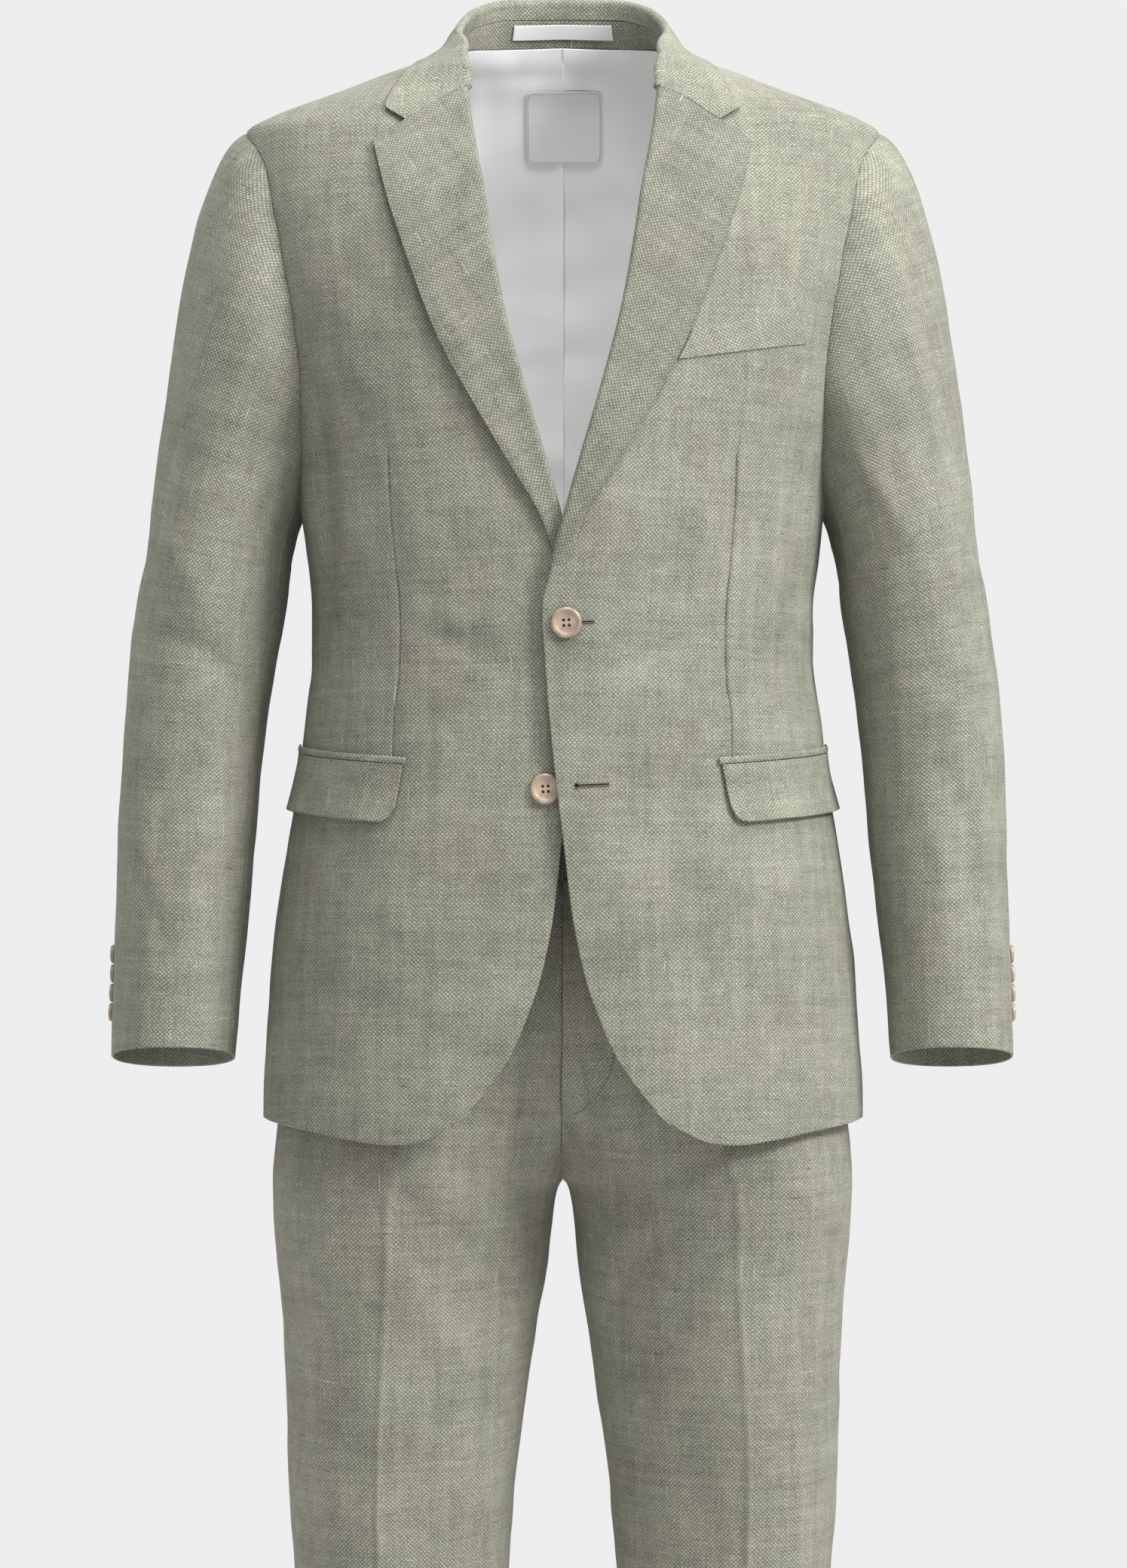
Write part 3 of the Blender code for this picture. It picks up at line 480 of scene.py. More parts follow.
def body_relief(angle, z, side):
    """Rumples and creases of the jacket's body, the same for all that lies on it."""
    at = body(angle, z)
    x = np.abs(at[..., 0])
    front = ease(np.sin(np.radians(angle)) * 3 + 0.5)
    seed = 11 if side > 0 else 31
    height = creases(FRONT_CREASES, x, z, seed) * front
    height = height + creases(BACK_CREASES, x, z, seed + 7) * (1 - front)
    around = 0.18 * np.radians(angle)
    height = CREASE_DEPTH * height + BODY_RUMPLE * rumple(around + 0.4 * (side < 0), z, 5)
    calm = ease((z + 0.745) / 0.06) * (1 - 0.55 * ease((z + 0.10) / 0.06))
    ridge = 1 - ease(np.abs(np.cos(np.radians(angle))) * 4.0 - 3.0)
    calm = calm * (1 - ease((z - SHOULDER_TIP_Z + 0.035) / 0.03) * (1 - ridge))
    return sizes().rumple * height * calm


def sleeve_relief(turn, z, side):
    """Rumples and creases of a sleeve, round it without a step."""
    turn = np.mod(turn, 360.0)
    seed = 101 if side > 0 else 151
    shift = 0.0 if side > 0 else 4.0
    girth = 0.052
    height = 0.0 * turn
    for lap in (-360.0, 0.0, 360.0):
        table = SLEEVE_CREASES.copy()
        table[:, 0] = np.radians(table[:, 0] + shift + lap) * girth
        height = height + creases(table, np.radians(turn) * girth, z, seed)
    x, y = np.cos(np.radians(turn)) * girth, np.sin(np.radians(turn)) * girth
    uneven = (rumple(x, z, seed) + rumple(y, z + 0.3, seed + 9)) / 1.4
    height = CREASE_DEPTH * height + SLEEVE_RUMPLE * uneven
    return sizes().rumple * height * ease((-0.045 - z) / 0.05) * ease((z + 0.69) / 0.04)


def leg_relief(turn, z, side):
    """Rumples, creases and the pressed crease of a trouser leg."""
    turn = np.mod(turn, 360.0)
    seed = 201 if side > 0 else 251
    girth = 0.075
    table = LEG_CREASES.copy()
    table[:, 0] = np.radians(table[:, 0]) * girth
    height = creases(table, np.radians(turn) * girth, z, seed)
    x, y = np.cos(np.radians(turn)) * girth, np.sin(np.radians(turn)) * girth
    uneven = (rumple(x, z, seed) + rumple(y, z + 0.3, seed + 9)) / 1.4
    height = CREASE_DEPTH * height + LEG_RUMPLE * uneven
    front, back = ((turn - middle) / 57.3 * girth for middle in (90.0, 270.0))
    pressed = bump(front, PRESSED_WIDTH) + 0.8 * bump(back, PRESSED_WIDTH)
    pressed = pressed * PRESSED_HEIGHT * ease((-0.64 - z) / 0.10)
    return sizes().rumple * height * ease((-0.56 - z) / 0.04) * ease((z + 1.57) / 0.03) + pressed


# Working a grid of points into a sewn shell.


def mirrored(grid):
    """The same grid for the wearer's right side, still facing out."""
    return grid[:, ::-1] * np.array([-1.0, 1.0, 1.0])


def inset(grid, top=0.0, bottom=0.0, first=0.0, last=0.0):
    """The grid with its edges drawn in by a seam's half gap."""
    grid = grid.copy()

    def pull(edge, inner, by):
        way = inner - edge
        return edge + by * way / np.maximum(np.linalg.norm(way, axis=-1, keepdims=True), 1e-9)

    if top:
        grid[0] = pull(grid[0], grid[1], top)
    if bottom:
        grid[-1] = pull(grid[-1], grid[-2], bottom)
    if first:
        grid[:, 0] = pull(grid[:, 0], grid[:, 1], first)
    if last:
        grid[:, -1] = pull(grid[:, -1], grid[:, -2], last)
    return grid


def normals_of(grid):
    """The way out of the sheet at each point of its grid."""
    down, across = np.gradient(grid, axis=0), np.gradient(grid, axis=1)
    normal = np.cross(across, down)
    return normal / np.maximum(np.linalg.norm(normal, axis=-1, keepdims=True), 1e-12)


def lengths(grid, axis):
    """How far each point of a grid is from the next one."""
    return np.linalg.norm(np.diff(grid, axis=axis), axis=-1)


def relaxed(flat, grid, rounds):
    """The flat places moved until each is as far from its neighbours as on the cloth."""
    pairs = []
    for da, db in ((0, 1), (1, 0), (1, 1), (1, -1)):
        rows, columns = grid.shape[:2]
        a = (slice(0, rows - da), slice(max(0, -db), columns - max(0, db)))
        b = (slice(da, rows), slice(max(0, db), columns + min(0, db)))
        pairs.append((a, b, np.linalg.norm(grid[b] - grid[a], axis=-1), 0.5 if da * db == 0 else 0.25))
    for _ in range(rounds):
        push = np.zeros_like(flat)
        weight = np.full(flat.shape[:2], 1e-9)
        for a, b, rest, pull in pairs:
            way = flat[b] - flat[a]
            far = np.maximum(np.linalg.norm(way, axis=-1), 1e-9)
            move = way * (pull * (far - rest) / far)[..., None]
            push[a] += move
            push[b] -= move
            weight[a] += pull
            weight[b] += pull
        flat = flat + 0.9 * push / weight[..., None]
    return flat


def cut_flat(grid):
    """The piece's places on its flat cut, in metres: across, up. Its middle column runs with the grain."""
    rows, columns = grid.shape[:2]
    pick_r = np.unique(np.linspace(0, rows - 1, min(rows, 34)).round().astype(int))
    pick_c = np.unique(np.linspace(0, columns - 1, min(columns, 16)).round().astype(int))
    rough = grid[np.ix_(pick_r, pick_c)]
    middle = len(pick_c) // 2
    down = np.concatenate([[0], np.cumsum(lengths(rough, 0)[:, middle])])
    along = np.concatenate([np.zeros((len(pick_r), 1)), np.cumsum(lengths(rough, 1), 1)], 1)
    flat = np.stack([along - along[:, middle : middle + 1], -down[:, None] + 0 * along], -1)
    start = flat.copy()
    flat = relaxed(flat, rough, 700)
    flat = flat - flat.mean((0, 1))
    start = start - start.mean((0, 1))
    crossed = flat[..., 0] * start[..., 1] - flat[..., 1] * start[..., 0]
    turn = math.atan2(float(crossed.sum()), float((flat * start).sum()))
    c, s = math.cos(turn), math.sin(turn)
    flat = flat @ np.array([[c, s], [-s, c]])
    by_row = [[np.interp(np.arange(columns), pick_c, line) for line in flat[..., k]] for k in (0, 1)]
    half = np.stack(by_row, -1)
    by_column = [[np.interp(np.arange(rows), pick_r, line) for line in half[..., k].T] for k in (0, 1)]
    full = np.stack(by_column, -1).transpose(1, 0, 2)
    return relaxed(full, grid, 40)


def turned(flat, degrees):
    """The flat places turned, for a piece that is cut across the grain."""
    c, s = math.cos(math.radians(degrees)), math.sin(math.radians(degrees))
    return flat @ np.array([[c, s], [-s, c]])


EDGE_LINES = np.array([0.0, 0.00012, 0.00034, 0.00066, 0.0013])


def with_edge_lines(stack, axis):
    """The grid with close lines along two opposite edges, where the cloth rounds over."""
    stack = np.moveaxis(stack, axis, 0)

    def lines(edge, inner):
        far = np.maximum(np.linalg.norm((inner - edge)[..., :3], axis=-1, keepdims=True), 1e-9)
        share = [np.minimum(t / far, 0.18 * (k + 1)) for k, t in enumerate(EDGE_LINES[1:])]
        return [edge + (inner - edge) * s for s in share]

    first = lines(stack[0], stack[1])
    last = lines(stack[-1], stack[-2])[::-1]
    stack = np.stack([stack[0], *first, *stack[1:-1], *last, stack[-1]])
    return np.moveaxis(stack, 0, axis)


def edge_depth(count, thickness):
    """How far each line is from the rounded edge, as a share of its radius still to go."""
    radius = thickness / 2
    near = np.clip((radius - EDGE_LINES) / radius, 0, 1)
    out = np.zeros(count)
    out[: len(near)] = near
    out[-len(near) :] = np.maximum(out[-len(near) :], near[::-1])
    return out


def linked(name, data):
    """A new object of this data, in the scene."""
    obj = bpy.data.objects.new(name, data)
    bpy.context.scene.collection.objects.link(obj)
    return obj


def add_mesh(name, points, faces, uv=None, finish=None, smooth_faces=True):
    """A mesh object of its own, with its places on the flat cut where it has them."""
    mesh = bpy.data.meshes.new(name)
    faces = faces.tolist() if isinstance(faces, np.ndarray) else faces
    mesh.from_pydata(np.asarray(points).tolist(), [], faces)
    if uv is not None:
        layer = mesh.uv_layers.new(name="cut")
        index = np.empty(len(mesh.loops), np.int32)
        mesh.loops.foreach_get("vertex_index", index)
        layer.data.foreach_set("uv", np.asarray(uv, np.float32)[index].ravel())
    if smooth_faces:
        mesh.shade_smooth()
    if finish:
        mesh.materials.append(finish)
    return linked(name, mesh)


def shell_faces(rows, columns):
    """Quads of a closed shell: the outside grid, the inside one, and the strip round the edge."""
    index = np.arange(rows * columns).reshape(rows, columns)
    a, b, c, d = index[:-1, :-1], index[:-1, 1:], index[1:, 1:], index[1:, :-1]
    outside = np.stack([a, b, c, d], -1).reshape(-1, 4)
    inside = outside[:, ::-1] + rows * columns
    ring = np.concatenate([index[0, :-1], index[:-1, -1], index[-1, :0:-1], index[:0:-1, 0]])
    after = np.roll(ring, -1)
    strip = np.stack([ring, ring + rows * columns, after + rows * columns, after], -1)
    return np.concatenate([outside, inside, strip])


# Each piece lies in a place of its own on the weave, this far from the last one's.
PLACE = {"count": 0}
PLACE_STEP = np.array([0.137, 0.211])
NARROWEST_CUT = 0.0102


def shell(name, grid, thickness, finish, node, grain=0.0, flat=None):
    """A sheet of cloth on its outside face: rounded at its edges, with its place on the flat cut."""
    if flat is None:
        flat = cut_flat(grid)
    size = flat.reshape(-1, 2)
    width, length = np.ptp(size[:, 0]), np.ptp(size[:, 1])
    area = float(cell_areas(grid).sum())
    PLACE["count"] += 1
    placed = turned(flat, grain) + PLACE_STEP * PLACE["count"]
    stack = with_edge_lines(with_edge_lines(np.concatenate([grid, placed], -1), 0), 1)
    grid, placed = stack[..., :3], stack[..., 3:]
    rows, columns = grid.shape[:2]
    down, across = edge_depth(rows, thickness)[:, None], edge_depth(columns, thickness)[None, :]
    round_off = 1 - np.sqrt(1 - np.minimum(down**2 + across**2, 0.96))
    normal = normals_of(grid)
    depth = (thickness / 2 * round_off)[..., None]
    outside = grid - normal * depth
    inside = grid - normal * (thickness - depth)
    points = np.concatenate([outside.reshape(-1, 3), inside.reshape(-1, 3)])
    uv = np.concatenate([placed.reshape(-1, 2), placed.reshape(-1, 2)])
    obj = add_mesh(name, points, shell_faces(rows, columns), uv, finish)
    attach(obj, "root")
    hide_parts(node)
    # A narrow piece is cut with turnings to fold under, 10 mm across at the least; this size is worked out
    # but not used.
    width, length = max(width, NARROWEST_CUT), max(length, NARROWEST_CUT)


def cell_areas(grid):
    """The area of each cell of a grid."""
    diagonal_1 = grid[1:, 1:] - grid[:-1, :-1]
    diagonal_2 = grid[1:, :-1] - grid[:-1, 1:]
    return np.linalg.norm(np.cross(diagonal_1, diagonal_2), axis=-1) / 2


# Finishes.


class Flow:
    """A shader socket that takes part in Python sums."""

    def __init__(self, finish, socket):
        self.finish = finish
        self.socket = socket

    def maths(self, operation, *others):
        values = dict(enumerate([self, *others]))
        return self.finish.node("ShaderNodeMath", {"operation": operation}, values)

    def __add__(self, other):
        return self.maths("ADD", other)

    def __sub__(self, other):
        return self.maths("SUBTRACT", other)

    def __rsub__(self, other):
        return self.finish.node("ShaderNodeMath", {"operation": "SUBTRACT"}, {0: other, 1: self})

    def __mul__(self, other):
        return self.maths("MULTIPLY", other)

    __radd__ = __add__
    __rmul__ = __mul__

    def most(self, other):
        return self.maths("MAXIMUM", other)

    def cosine(self):
        return self.maths("COSINE")

    def step(self, low, high):
        """0 below low, 1 above high, and smooth between."""
        settings = {"interpolation_type": "SMOOTHSTEP"}
        values = {"Value": self, "From Min": low, "From Max": high}
        return self.finish.node("ShaderNodeMapRange", settings, values)


class Finish:
    """A procedural material while it is put together."""

    def __init__(self, name, **constants):
        self.material = bpy.data.materials.new(name)
        self.material.use_nodes = True
        self.tree = self.material.node_tree
        self.tree.nodes.clear()
        self.shader = self.tree.nodes.new("ShaderNodeBsdfPrincipled")
        output = self.tree.nodes.new("ShaderNodeOutputMaterial")
        self.tree.links.new(self.shader.outputs[0], output.inputs["Surface"])
        for key, value in constants.items():
            self.shader.inputs[key.replace("_", " ")].default_value = value

    def node(self, kind, settings, values, output=0):
        """A node of this kind: its settings first, then its sockets' values or links."""
        made = self.tree.nodes.new(kind)
        for key, value in settings.items():
            setattr(made, key, value)
        for key, value in values.items():
            self.feed(made.inputs[key], value)
        return Flow(self, made.outputs[output])

    def feed(self, socket, value):
        if isinstance(value, Flow):
            self.tree.links.new(value.socket, socket)
        else:
            socket.default_value = value

    def cut(self):
        """The place on the flat cut: across and up, in metres."""
        place = self.node("ShaderNodeUVMap", {"uv_map": "cut"}, {})
        apart = self.node("ShaderNodeSeparateXYZ", {}, {0: place})
        return apart, Flow(self, apart.socket.node.outputs[1])

    def spot(self, x, y, z=0.0):
        return self.node("ShaderNodeCombineXYZ", {}, {0: x, 1: y, 2: z})

    def noise(self, place, scale=1.0, detail=2.0, roughness=0.5):
        values = {"Vector": place, "Scale": scale, "Detail": detail, "Roughness": roughness}
        return self.node("ShaderNodeTexNoise", {}, values)

    def mix(self, share, a, b, blend="MIX"):
        """Colour a to colour b by a share."""
        settings = {"data_type": "RGBA", "blend_type": blend, "clamp_factor": True}
        a = a if isinstance(a, Flow) else (*a, 1.0)
        b = b if isinstance(b, Flow) else (*b, 1.0)
        return self.node("ShaderNodeMix", settings, {0: share, 6: a, 7: b}, output=2)

    def done(self, colour=None, roughness=None, height=None, distance=0.0002, strength=1.0):
        if colour is not None:
            self.feed(self.shader.inputs["Base Color"], colour)
        if roughness is not None:
            self.feed(self.shader.inputs["Roughness"], roughness)
        if height is not None:
            values = {"Height": height, "Distance": distance, "Strength": strength}
            bumped = self.node("ShaderNodeBump", {}, values)
            self.feed(self.shader.inputs["Normal"], bumped)
        return self.material


def shade(colour, by):
    """A colour made darker or paler."""
    return tuple(min(1.0, c * by) for c in colour)


def make_linen(name="sage_linen", darker=1.0, warmer=0.0):
    """Hopsack linen: pale dots in a staggered lattice on a grey-green ground, with slubs and warm patches."""
    colours, s = bpy.context.scene.suit_colours, sizes()
    f = Finish(name, Sheen_Weight=0.04, Sheen_Roughness=0.5, Specular_IOR_Level=0.25)
    u, v = f.cut()
    sway = f.noise(f.spot(u * 60, v * 60), detail=1.0) - 0.5
    roll = f.noise(f.spot(u * 60, v * 60, 7.0), detail=1.0) - 0.5
    across = (u + sway * 0.0012) * (2 * math.pi / s.weave_across)
    up = (v + roll * 0.0012) * (2 * math.pi / s.weave_up)
    lattice = across.cosine() * up.cosine()
    thick = f.noise(f.spot(u * 380, v * 760), detail=1.0) - 0.5
    dots = (lattice + thick * 1.7).step(-0.14, 0.94)
    # Fine threads in both ways, which break up the dots.
    weft = f.noise(f.spot(u * 50, v * 1100), detail=2.0)
    warp = f.noise(f.spot(u * 1100, v * 50, 3.0), detail=2.0)
    # Slubs: short dark dashes and knots, thin pale streaks.
    dash = f.noise(f.spot(u * 70, v * 900, 11.0), detail=1.5).step(0.695, 0.76)
    upright_dash = f.noise(f.spot(u * 900, v * 70, 17.0), detail=1.5).step(0.725, 0.81)
    knot = f.noise(f.spot(u * 300, v * 420, 53.0), detail=0.0).step(0.86, 0.91)
    streak = f.noise(f.spot(u * 760, v * 34, 23.0), detail=1.0).step(0.72, 0.785)
    pale_dash = f.noise(f.spot(u * 40, v * 760, 29.0), detail=1.0).step(0.745, 0.81)
    # Patches and bands.
    patch = f.noise(f.spot(u * 16, v * 16, 31.0), detail=4.0, roughness=0.62)
    warm = f.noise(f.spot(u * 24, v * 15, 41.0), detail=3.0)
    bands = f.noise(f.spot(u * 7, v * 260, 43.0), detail=2.0)
    lines = f.noise(f.spot(u * 150, v * 6, 47.0), detail=2.0)
    mottle = f.noise(f.spot(u * 90, v * 90, 59.0), detail=2.0)
    speck = f.noise(f.spot(u * 900, v * 1300, 61.0), detail=0.0)
    speck = (speck - (mottle + patch) * 0.25).step(0.22, 0.50)
    warm = (warm + warmer).step(0.50, 0.72)
    ground = f.mix(warm * 0.9, tuple(colours.ground), tuple(colours.warm_ground))
    ground = f.mix(dots, ground, tuple(colours.dots))
    tone = -0.14 + patch * 0.42 + mottle * 0.12 + bands * 0.34 + lines * 0.32 + weft * 0.42 + warp * 0.36
    # Made darker for the lapels: painted shade.
    tone = tone * (1.08 - speck * 0.42) * darker
    toned = f.mix(1.0, ground, f.spot(tone, tone, tone), "MULTIPLY")
    slubbed = f.mix(dash.most(upright_dash).most(knot) * 0.75, toned, shade(tuple(colours.ground), 0.28))
    streaked = f.mix(streak.most(pale_dash) * 0.55, slubbed, shade(tuple(colours.dots), 1.3))
    height = dots * 0.75 + weft * 0.15 + warp * 0.15 + streak * 0.5 + dash * 0.3
    rough = 0.78 + patch * 0.16
    return f.done(streaked, rough, height, distance=0.00032, strength=0.8)


def make_satin(name="white_satin", darker=1.0):
    """The white lining: close, smooth and softly shining, with a trace of fine rib."""
    colours = bpy.context.scene.suit_colours
    f = Finish(name, Sheen_Weight=0.15, Anisotropic=0.35, Specular_IOR_Level=0.45)
    u, v = f.cut()
    cloud = f.noise(f.spot(u * 14, v * 5), detail=2.0)
    rib = f.noise(f.spot(u * 900, v * 60), detail=1.0)
    # A darker copy is painted shade, for the hanger band.
    base = shade(tuple(colours.satin), darker)
    colour = f.mix(cloud.step(0.35, 0.68), base, shade(base, 0.93))
    return f.done(colour, 0.34 + cloud * 0.16, rib, distance=0.00005, strength=0.35)


LABEL_THREAD = 0.0006


def make_label():
    """The bare grey patch, of a close even cloth."""
    colours = bpy.context.scene.suit_colours
    f = Finish("grey_patch", Sheen_Weight=0.1, Specular_IOR_Level=0.3)
    u, v = f.cut()
    turns = 2 * math.pi / LABEL_THREAD
    rib = (u * turns).cosine() * (v * turns).cosine()
    cloud = f.noise(f.spot(u * 60, v * 60), detail=2.0)
    colour = f.mix(cloud, tuple(colours.label), shade(tuple(colours.label), 0.95))
    return f.done(colour, 0.55 + cloud * 0.1, rib, distance=0.00006, strength=0.5)


def make_button_horn():
    """Beige-brown corozo: cloudy, faintly streaked, polished on its rim."""
    colours = bpy.context.scene.suit_colours
    f = Finish("beige_corozo", Coat_Weight=0.25, Coat_Roughness=0.15, Specular_IOR_Level=0.5)
    place = f.node("ShaderNodeTexCoord", {}, {}, output=3)
    cloud = f.noise(place, scale=110.0, detail=3.0, roughness=0.6)
    grain = f.noise(place, scale=900.0, detail=2.0)
    colour = f.mix(cloud.step(0.36, 0.66), tuple(colours.button), shade(tuple(colours.button), 0.66))
    colour = f.mix(grain.step(0.55, 0.75) * 0.35, colour, shade(tuple(colours.button), 1.25))
    return f.done(colour, 0.28 + cloud * 0.16, grain, distance=0.00004, strength=0.3)


def make_thread(name, colour):
    """Sewing thread with the fine twist of its plies."""
    f = Finish(name, Sheen_Weight=0.2, Specular_IOR_Level=0.3)
    place = f.node("ShaderNodeTexCoord", {}, {}, output=3)
    twist = f.noise(place, scale=2600.0, detail=1.0)
    tinted = f.mix(twist.step(0.35, 0.65), colour, shade(colour, 0.72))
    return f.done(tinted, 0.6 + twist * 0.2, twist, distance=0.00006, strength=0.6)


def make_shadow_gap():
    """Painted shade inside a slit or a hole: a near-black sheet where the cloth beneath lies in shadow."""
    f = Finish("painted_shade_slit", Specular_IOR_Level=0.0)
    place = f.node("ShaderNodeTexCoord", {}, {}, output=3)
    speck = f.noise(place, scale=1800.0, detail=1.0)
    return f.done(f.mix(speck, (0.012, 0.012, 0.009), (0.022, 0.021, 0.016)), 0.9 + speck * 0.05)


FINISHES = {}


def finish(name):
    """The material of this name, made once."""
    colours = bpy.context.scene.suit_colours
    makers = {
        "linen": make_linen,
        "satin": make_satin,
        # The hanger band's satin is the lining's made darker: painted shade for a band that is lit more.
        "band": lambda: make_satin("band_satin_painted_shade", 0.80),
        # The lapels' linen is the jacket's linen made darker: painted shade.
        "lapel_linen_painted_shade": lambda: make_linen("sage_linen_lapel_painted_shade", 0.87),
        "trouser_linen": lambda: make_linen("sage_linen_trousers", 1.0, 0.12),
        "label": make_label,
        "horn": make_button_horn,
        "dark_thread": lambda: make_thread("moss_thread", tuple(colours.dark_thread)),
        "grey_thread": lambda: make_thread("grey_thread", shade(tuple(colours.label), 0.6)),
        # The slits' near-black finish is painted shade.
        "gap": make_shadow_gap,
    }
    if name not in FINISHES:
        FINISHES[name] = makers[name]()
    return FINISHES[name]


# The jacket.


def patch(levels, first_angle, last_angle, tops, bottoms, columns):
    """Angles and heights of a body panel. Its rows follow levels, stretched to both edges by column."""
    share = ((levels - levels[0]) / (levels[-1] - levels[0]))[:, None]
    z = tops[None, :] + (bottoms - tops)[None, :] * share
    a0, a1 = first_angle(z[:, :1]), last_angle(z[:, -1:])
    return a0 + (a1 - a0) * columns[None, :], z


def roll_radius():
    """The radius of the lapel's fold, which goes round the front's edge."""
    s = sizes()
    return LAY_GAP + s.leaf + s.cloth / 2 + 0.0003


def panel_front_edge_angle(z):
    """The front panel's inner edge: the neck, a little outside the roll line, then the front edge."""
    x = smooth(FRONT_EDGE, z, 1) + 0.0002 + (roll_radius() + 0.0004) * ease((z - LAPEL_END_Z) / 0.045)
    return front_angle(x, z)


def front_outer_angle(z):
    """The front panel's outer edge: the shoulder, the armhole, then the side seam."""
    on_armhole = smooth(ARMHOLE, z, 1)
    return np.where(z > SHOULDER_TIP_Z, 0.0, np.where(z < FRONT_SEAM_TOP, FRONT_SEAM_ANGLE, on_armhole))


def back_outer_angle(z):
    """The back panel's outer edge: the shoulder, the armhole, then the seam of the side panel."""
    on_armhole = smooth(ARMHOLE, z, 2)
    on_seam = smooth(BACK_SEAM, z, 1)
    return np.where(z > SHOULDER_TIP_Z, 0.0, np.where(z < BACK_SEAM_TOP, on_seam, on_armhole))


def near_line(line, x, z):
    """Distance in the front view to a line of (x, z) points, positive on its outer side."""
    best = np.full(x.shape, 1e9)
    side = np.zeros(x.shape)
    for (x0, z0), (x1, z1) in zip(line[:-1], line[1:]):
        dx, dz = x1 - x0, z1 - z0
        t = np.clip(((x - x0) * dx + (z - z0) * dz) / (dx * dx + dz * dz), 0, 1)
        far = np.hypot(x - x0 - t * dx, z - z0 - t * dz)
        sign = np.sign((x - x0) * dz - (z - z0) * dx)
        side = np.where(far < best, sign, side)
        best = np.minimum(far, best)
    return best * np.where(side == 0, 1, side)


def dart_x(z):
    """The dart's distance from the centre at a height. Past its ends it stays as at the end."""
    return smooth(DART[::-1, ::-1], z, 1)


def dart_line():
    """Close points (x, z) along the dart."""
    z = np.linspace(DART[0, 1], DART[-1, 1], 28)
    return np.stack([dart_x(z), z], -1)


def front_sewing(x, z):
    """The dart: a sunk line, a little puckered, with the cloth rounding down to it."""
    far = near_line(dart_line(), x, z)
    pucker = 1 + 0.4 * hills(z, 0 * z, 0.006, 77)
    return -0.0013 * pucker * bump(far, 0.00055) - 0.0005 * bump(far, 0.0045)


def front_lift(side, x, z):
    """How far the outside of a front panel, and all that lies on it, is moved out of the body's form."""
    lap = overlap_lift(x, z) if side > 0 else 0.0
    return lap + body_relief(front_angle(x, z), z, side)


# Heights that are rows of the front and back panels: the armhole's bends and the ends of its seams.
LEVELS = (
    FRONT_TOP_Z, -0.004, -0.028, SHOULDER_TIP_Z, -0.050, -0.094, -0.154,
    BACK_SEAM_TOP, -0.262, FRONT_SEAM_TOP, SIDE_HEM_Z,
)
DART_COLUMN = 0.45
DART_LINES = (-0.030, -0.013, -0.0055, -0.0028, -0.0014, 0.0, 0.0014, 0.0028, 0.0055, 0.013, 0.030)


def front_grid(side):
    """The front panel from its side edge to the roll line, with close columns along the dart."""
    near_dart = [DART_COLUMN + d for d in DART_LINES]
    columns = refined([0.0, 0.035, 0.13, *near_dart, 0.84, 0.92, 1.0], 1 / 56)
    levels = refined(LEVELS, sizes().grid_step)
    share = np.tile(columns, (2, 1))
    for _ in range(3):
        tops = -0.0150 + (FRONT_TOP_Z + 0.0150) * (1 - share[0] ** 3.5)
        bottoms = smooth(FRONT_HEM, share[-1], 1)
        angle, z = patch(levels, front_outer_angle, panel_front_edge_angle, tops, bottoms, columns)
        # The columns near the dart follow its line.
        a0, a1 = angle[:, :1], angle[:, -1:]
        dart = (front_angle(dart_x(z), z) - a0) / (a1 - a0)
        dart = DART_COLUMN + (dart - DART_COLUMN) * ease((-0.10 - z) / 0.12)
        over = (columns - DART_COLUMN) / (1 - DART_COLUMN)
        share = np.where(columns < DART_COLUMN, columns / DART_COLUMN * dart, dart + over * (1 - dart))
    # Above the sleeve's head only the outermost columns fan out to the shoulder line.
    held = np.maximum(a0, np.where(z[:, :1] > ARMHOLE[9, 0], ARMHOLE[9, 1], 0.0))
    fan = np.clip(share / columns[columns > 0.12][0], 0, 1)
    angle = a0 * (1 - fan) + held * fan + (a1 - held) * share
    x = body(angle, z)[..., 0]
    lap = overlap_lift(x, z) if side > 0 else 0.0
    relief = body_relief(angle, z, side)
    return body(angle, z, lap + relief + front_sewing(x, z))


def make_fronts():
    both_sides("front", lambda side: inset(front_grid(side), first=sizes().seam))


def both_sides(
    node, make_grid, thickness=None, cloth="linen", grain=0.0
):
    """The same piece on both sides of the wearer, each with its own creases."""
    for side, word in ((1, "left"), (-1, "right")):
        grid = make_grid(side)
        flat = cut_flat(grid)
        if side < 0:
            grid, flat = mirrored(grid), flat[:, ::-1] * np.array([-1.0, 1.0])
        shell(
            f"{node}_{word}_cloth",
            grid,
            thickness or sizes().cloth,
            finish(cloth),
            f"{node}_{word}",
            grain=grain * side,
            flat=flat,
        )


# The side panel's top, under the arm: angle from the side, height.
SIDE_TOP = np.array([
    (-24.4, -0.215),
    (-22.0, -0.237),
    (-17.0, -0.262),
    (-9.0, -0.287),
    (0.0, -0.302),
    (9.0, -0.2915),
    (11.0, -0.287),
])


def side_grid(side):
    """The side panel, from its seam with the back to its seam with the front."""
    columns = refined([0.0, 0.05, 0.15, 0.85, 0.95, 1.0], 1 / 34)
    reach = SIDE_TOP[:, 0] - SIDE_TOP[0, 0]
    tops = np.interp(columns, reach / reach[-1], SIDE_TOP[:, 1])
    levels = refined([FRONT_SEAM_TOP, -0.325, SIDE_HEM_Z], sizes().grid_step)
    angle, z = patch(
        levels,
        lambda at: smooth(BACK_SEAM, at, 1),
        lambda at: FRONT_SEAM_ANGLE + 0 * at,
        tops,
        np.full(len(columns), SIDE_HEM_Z),
        columns,
    )
    half = sizes().seam
    return inset(body(angle, z, body_relief(angle, z, side)), top=half, first=half, last=half)


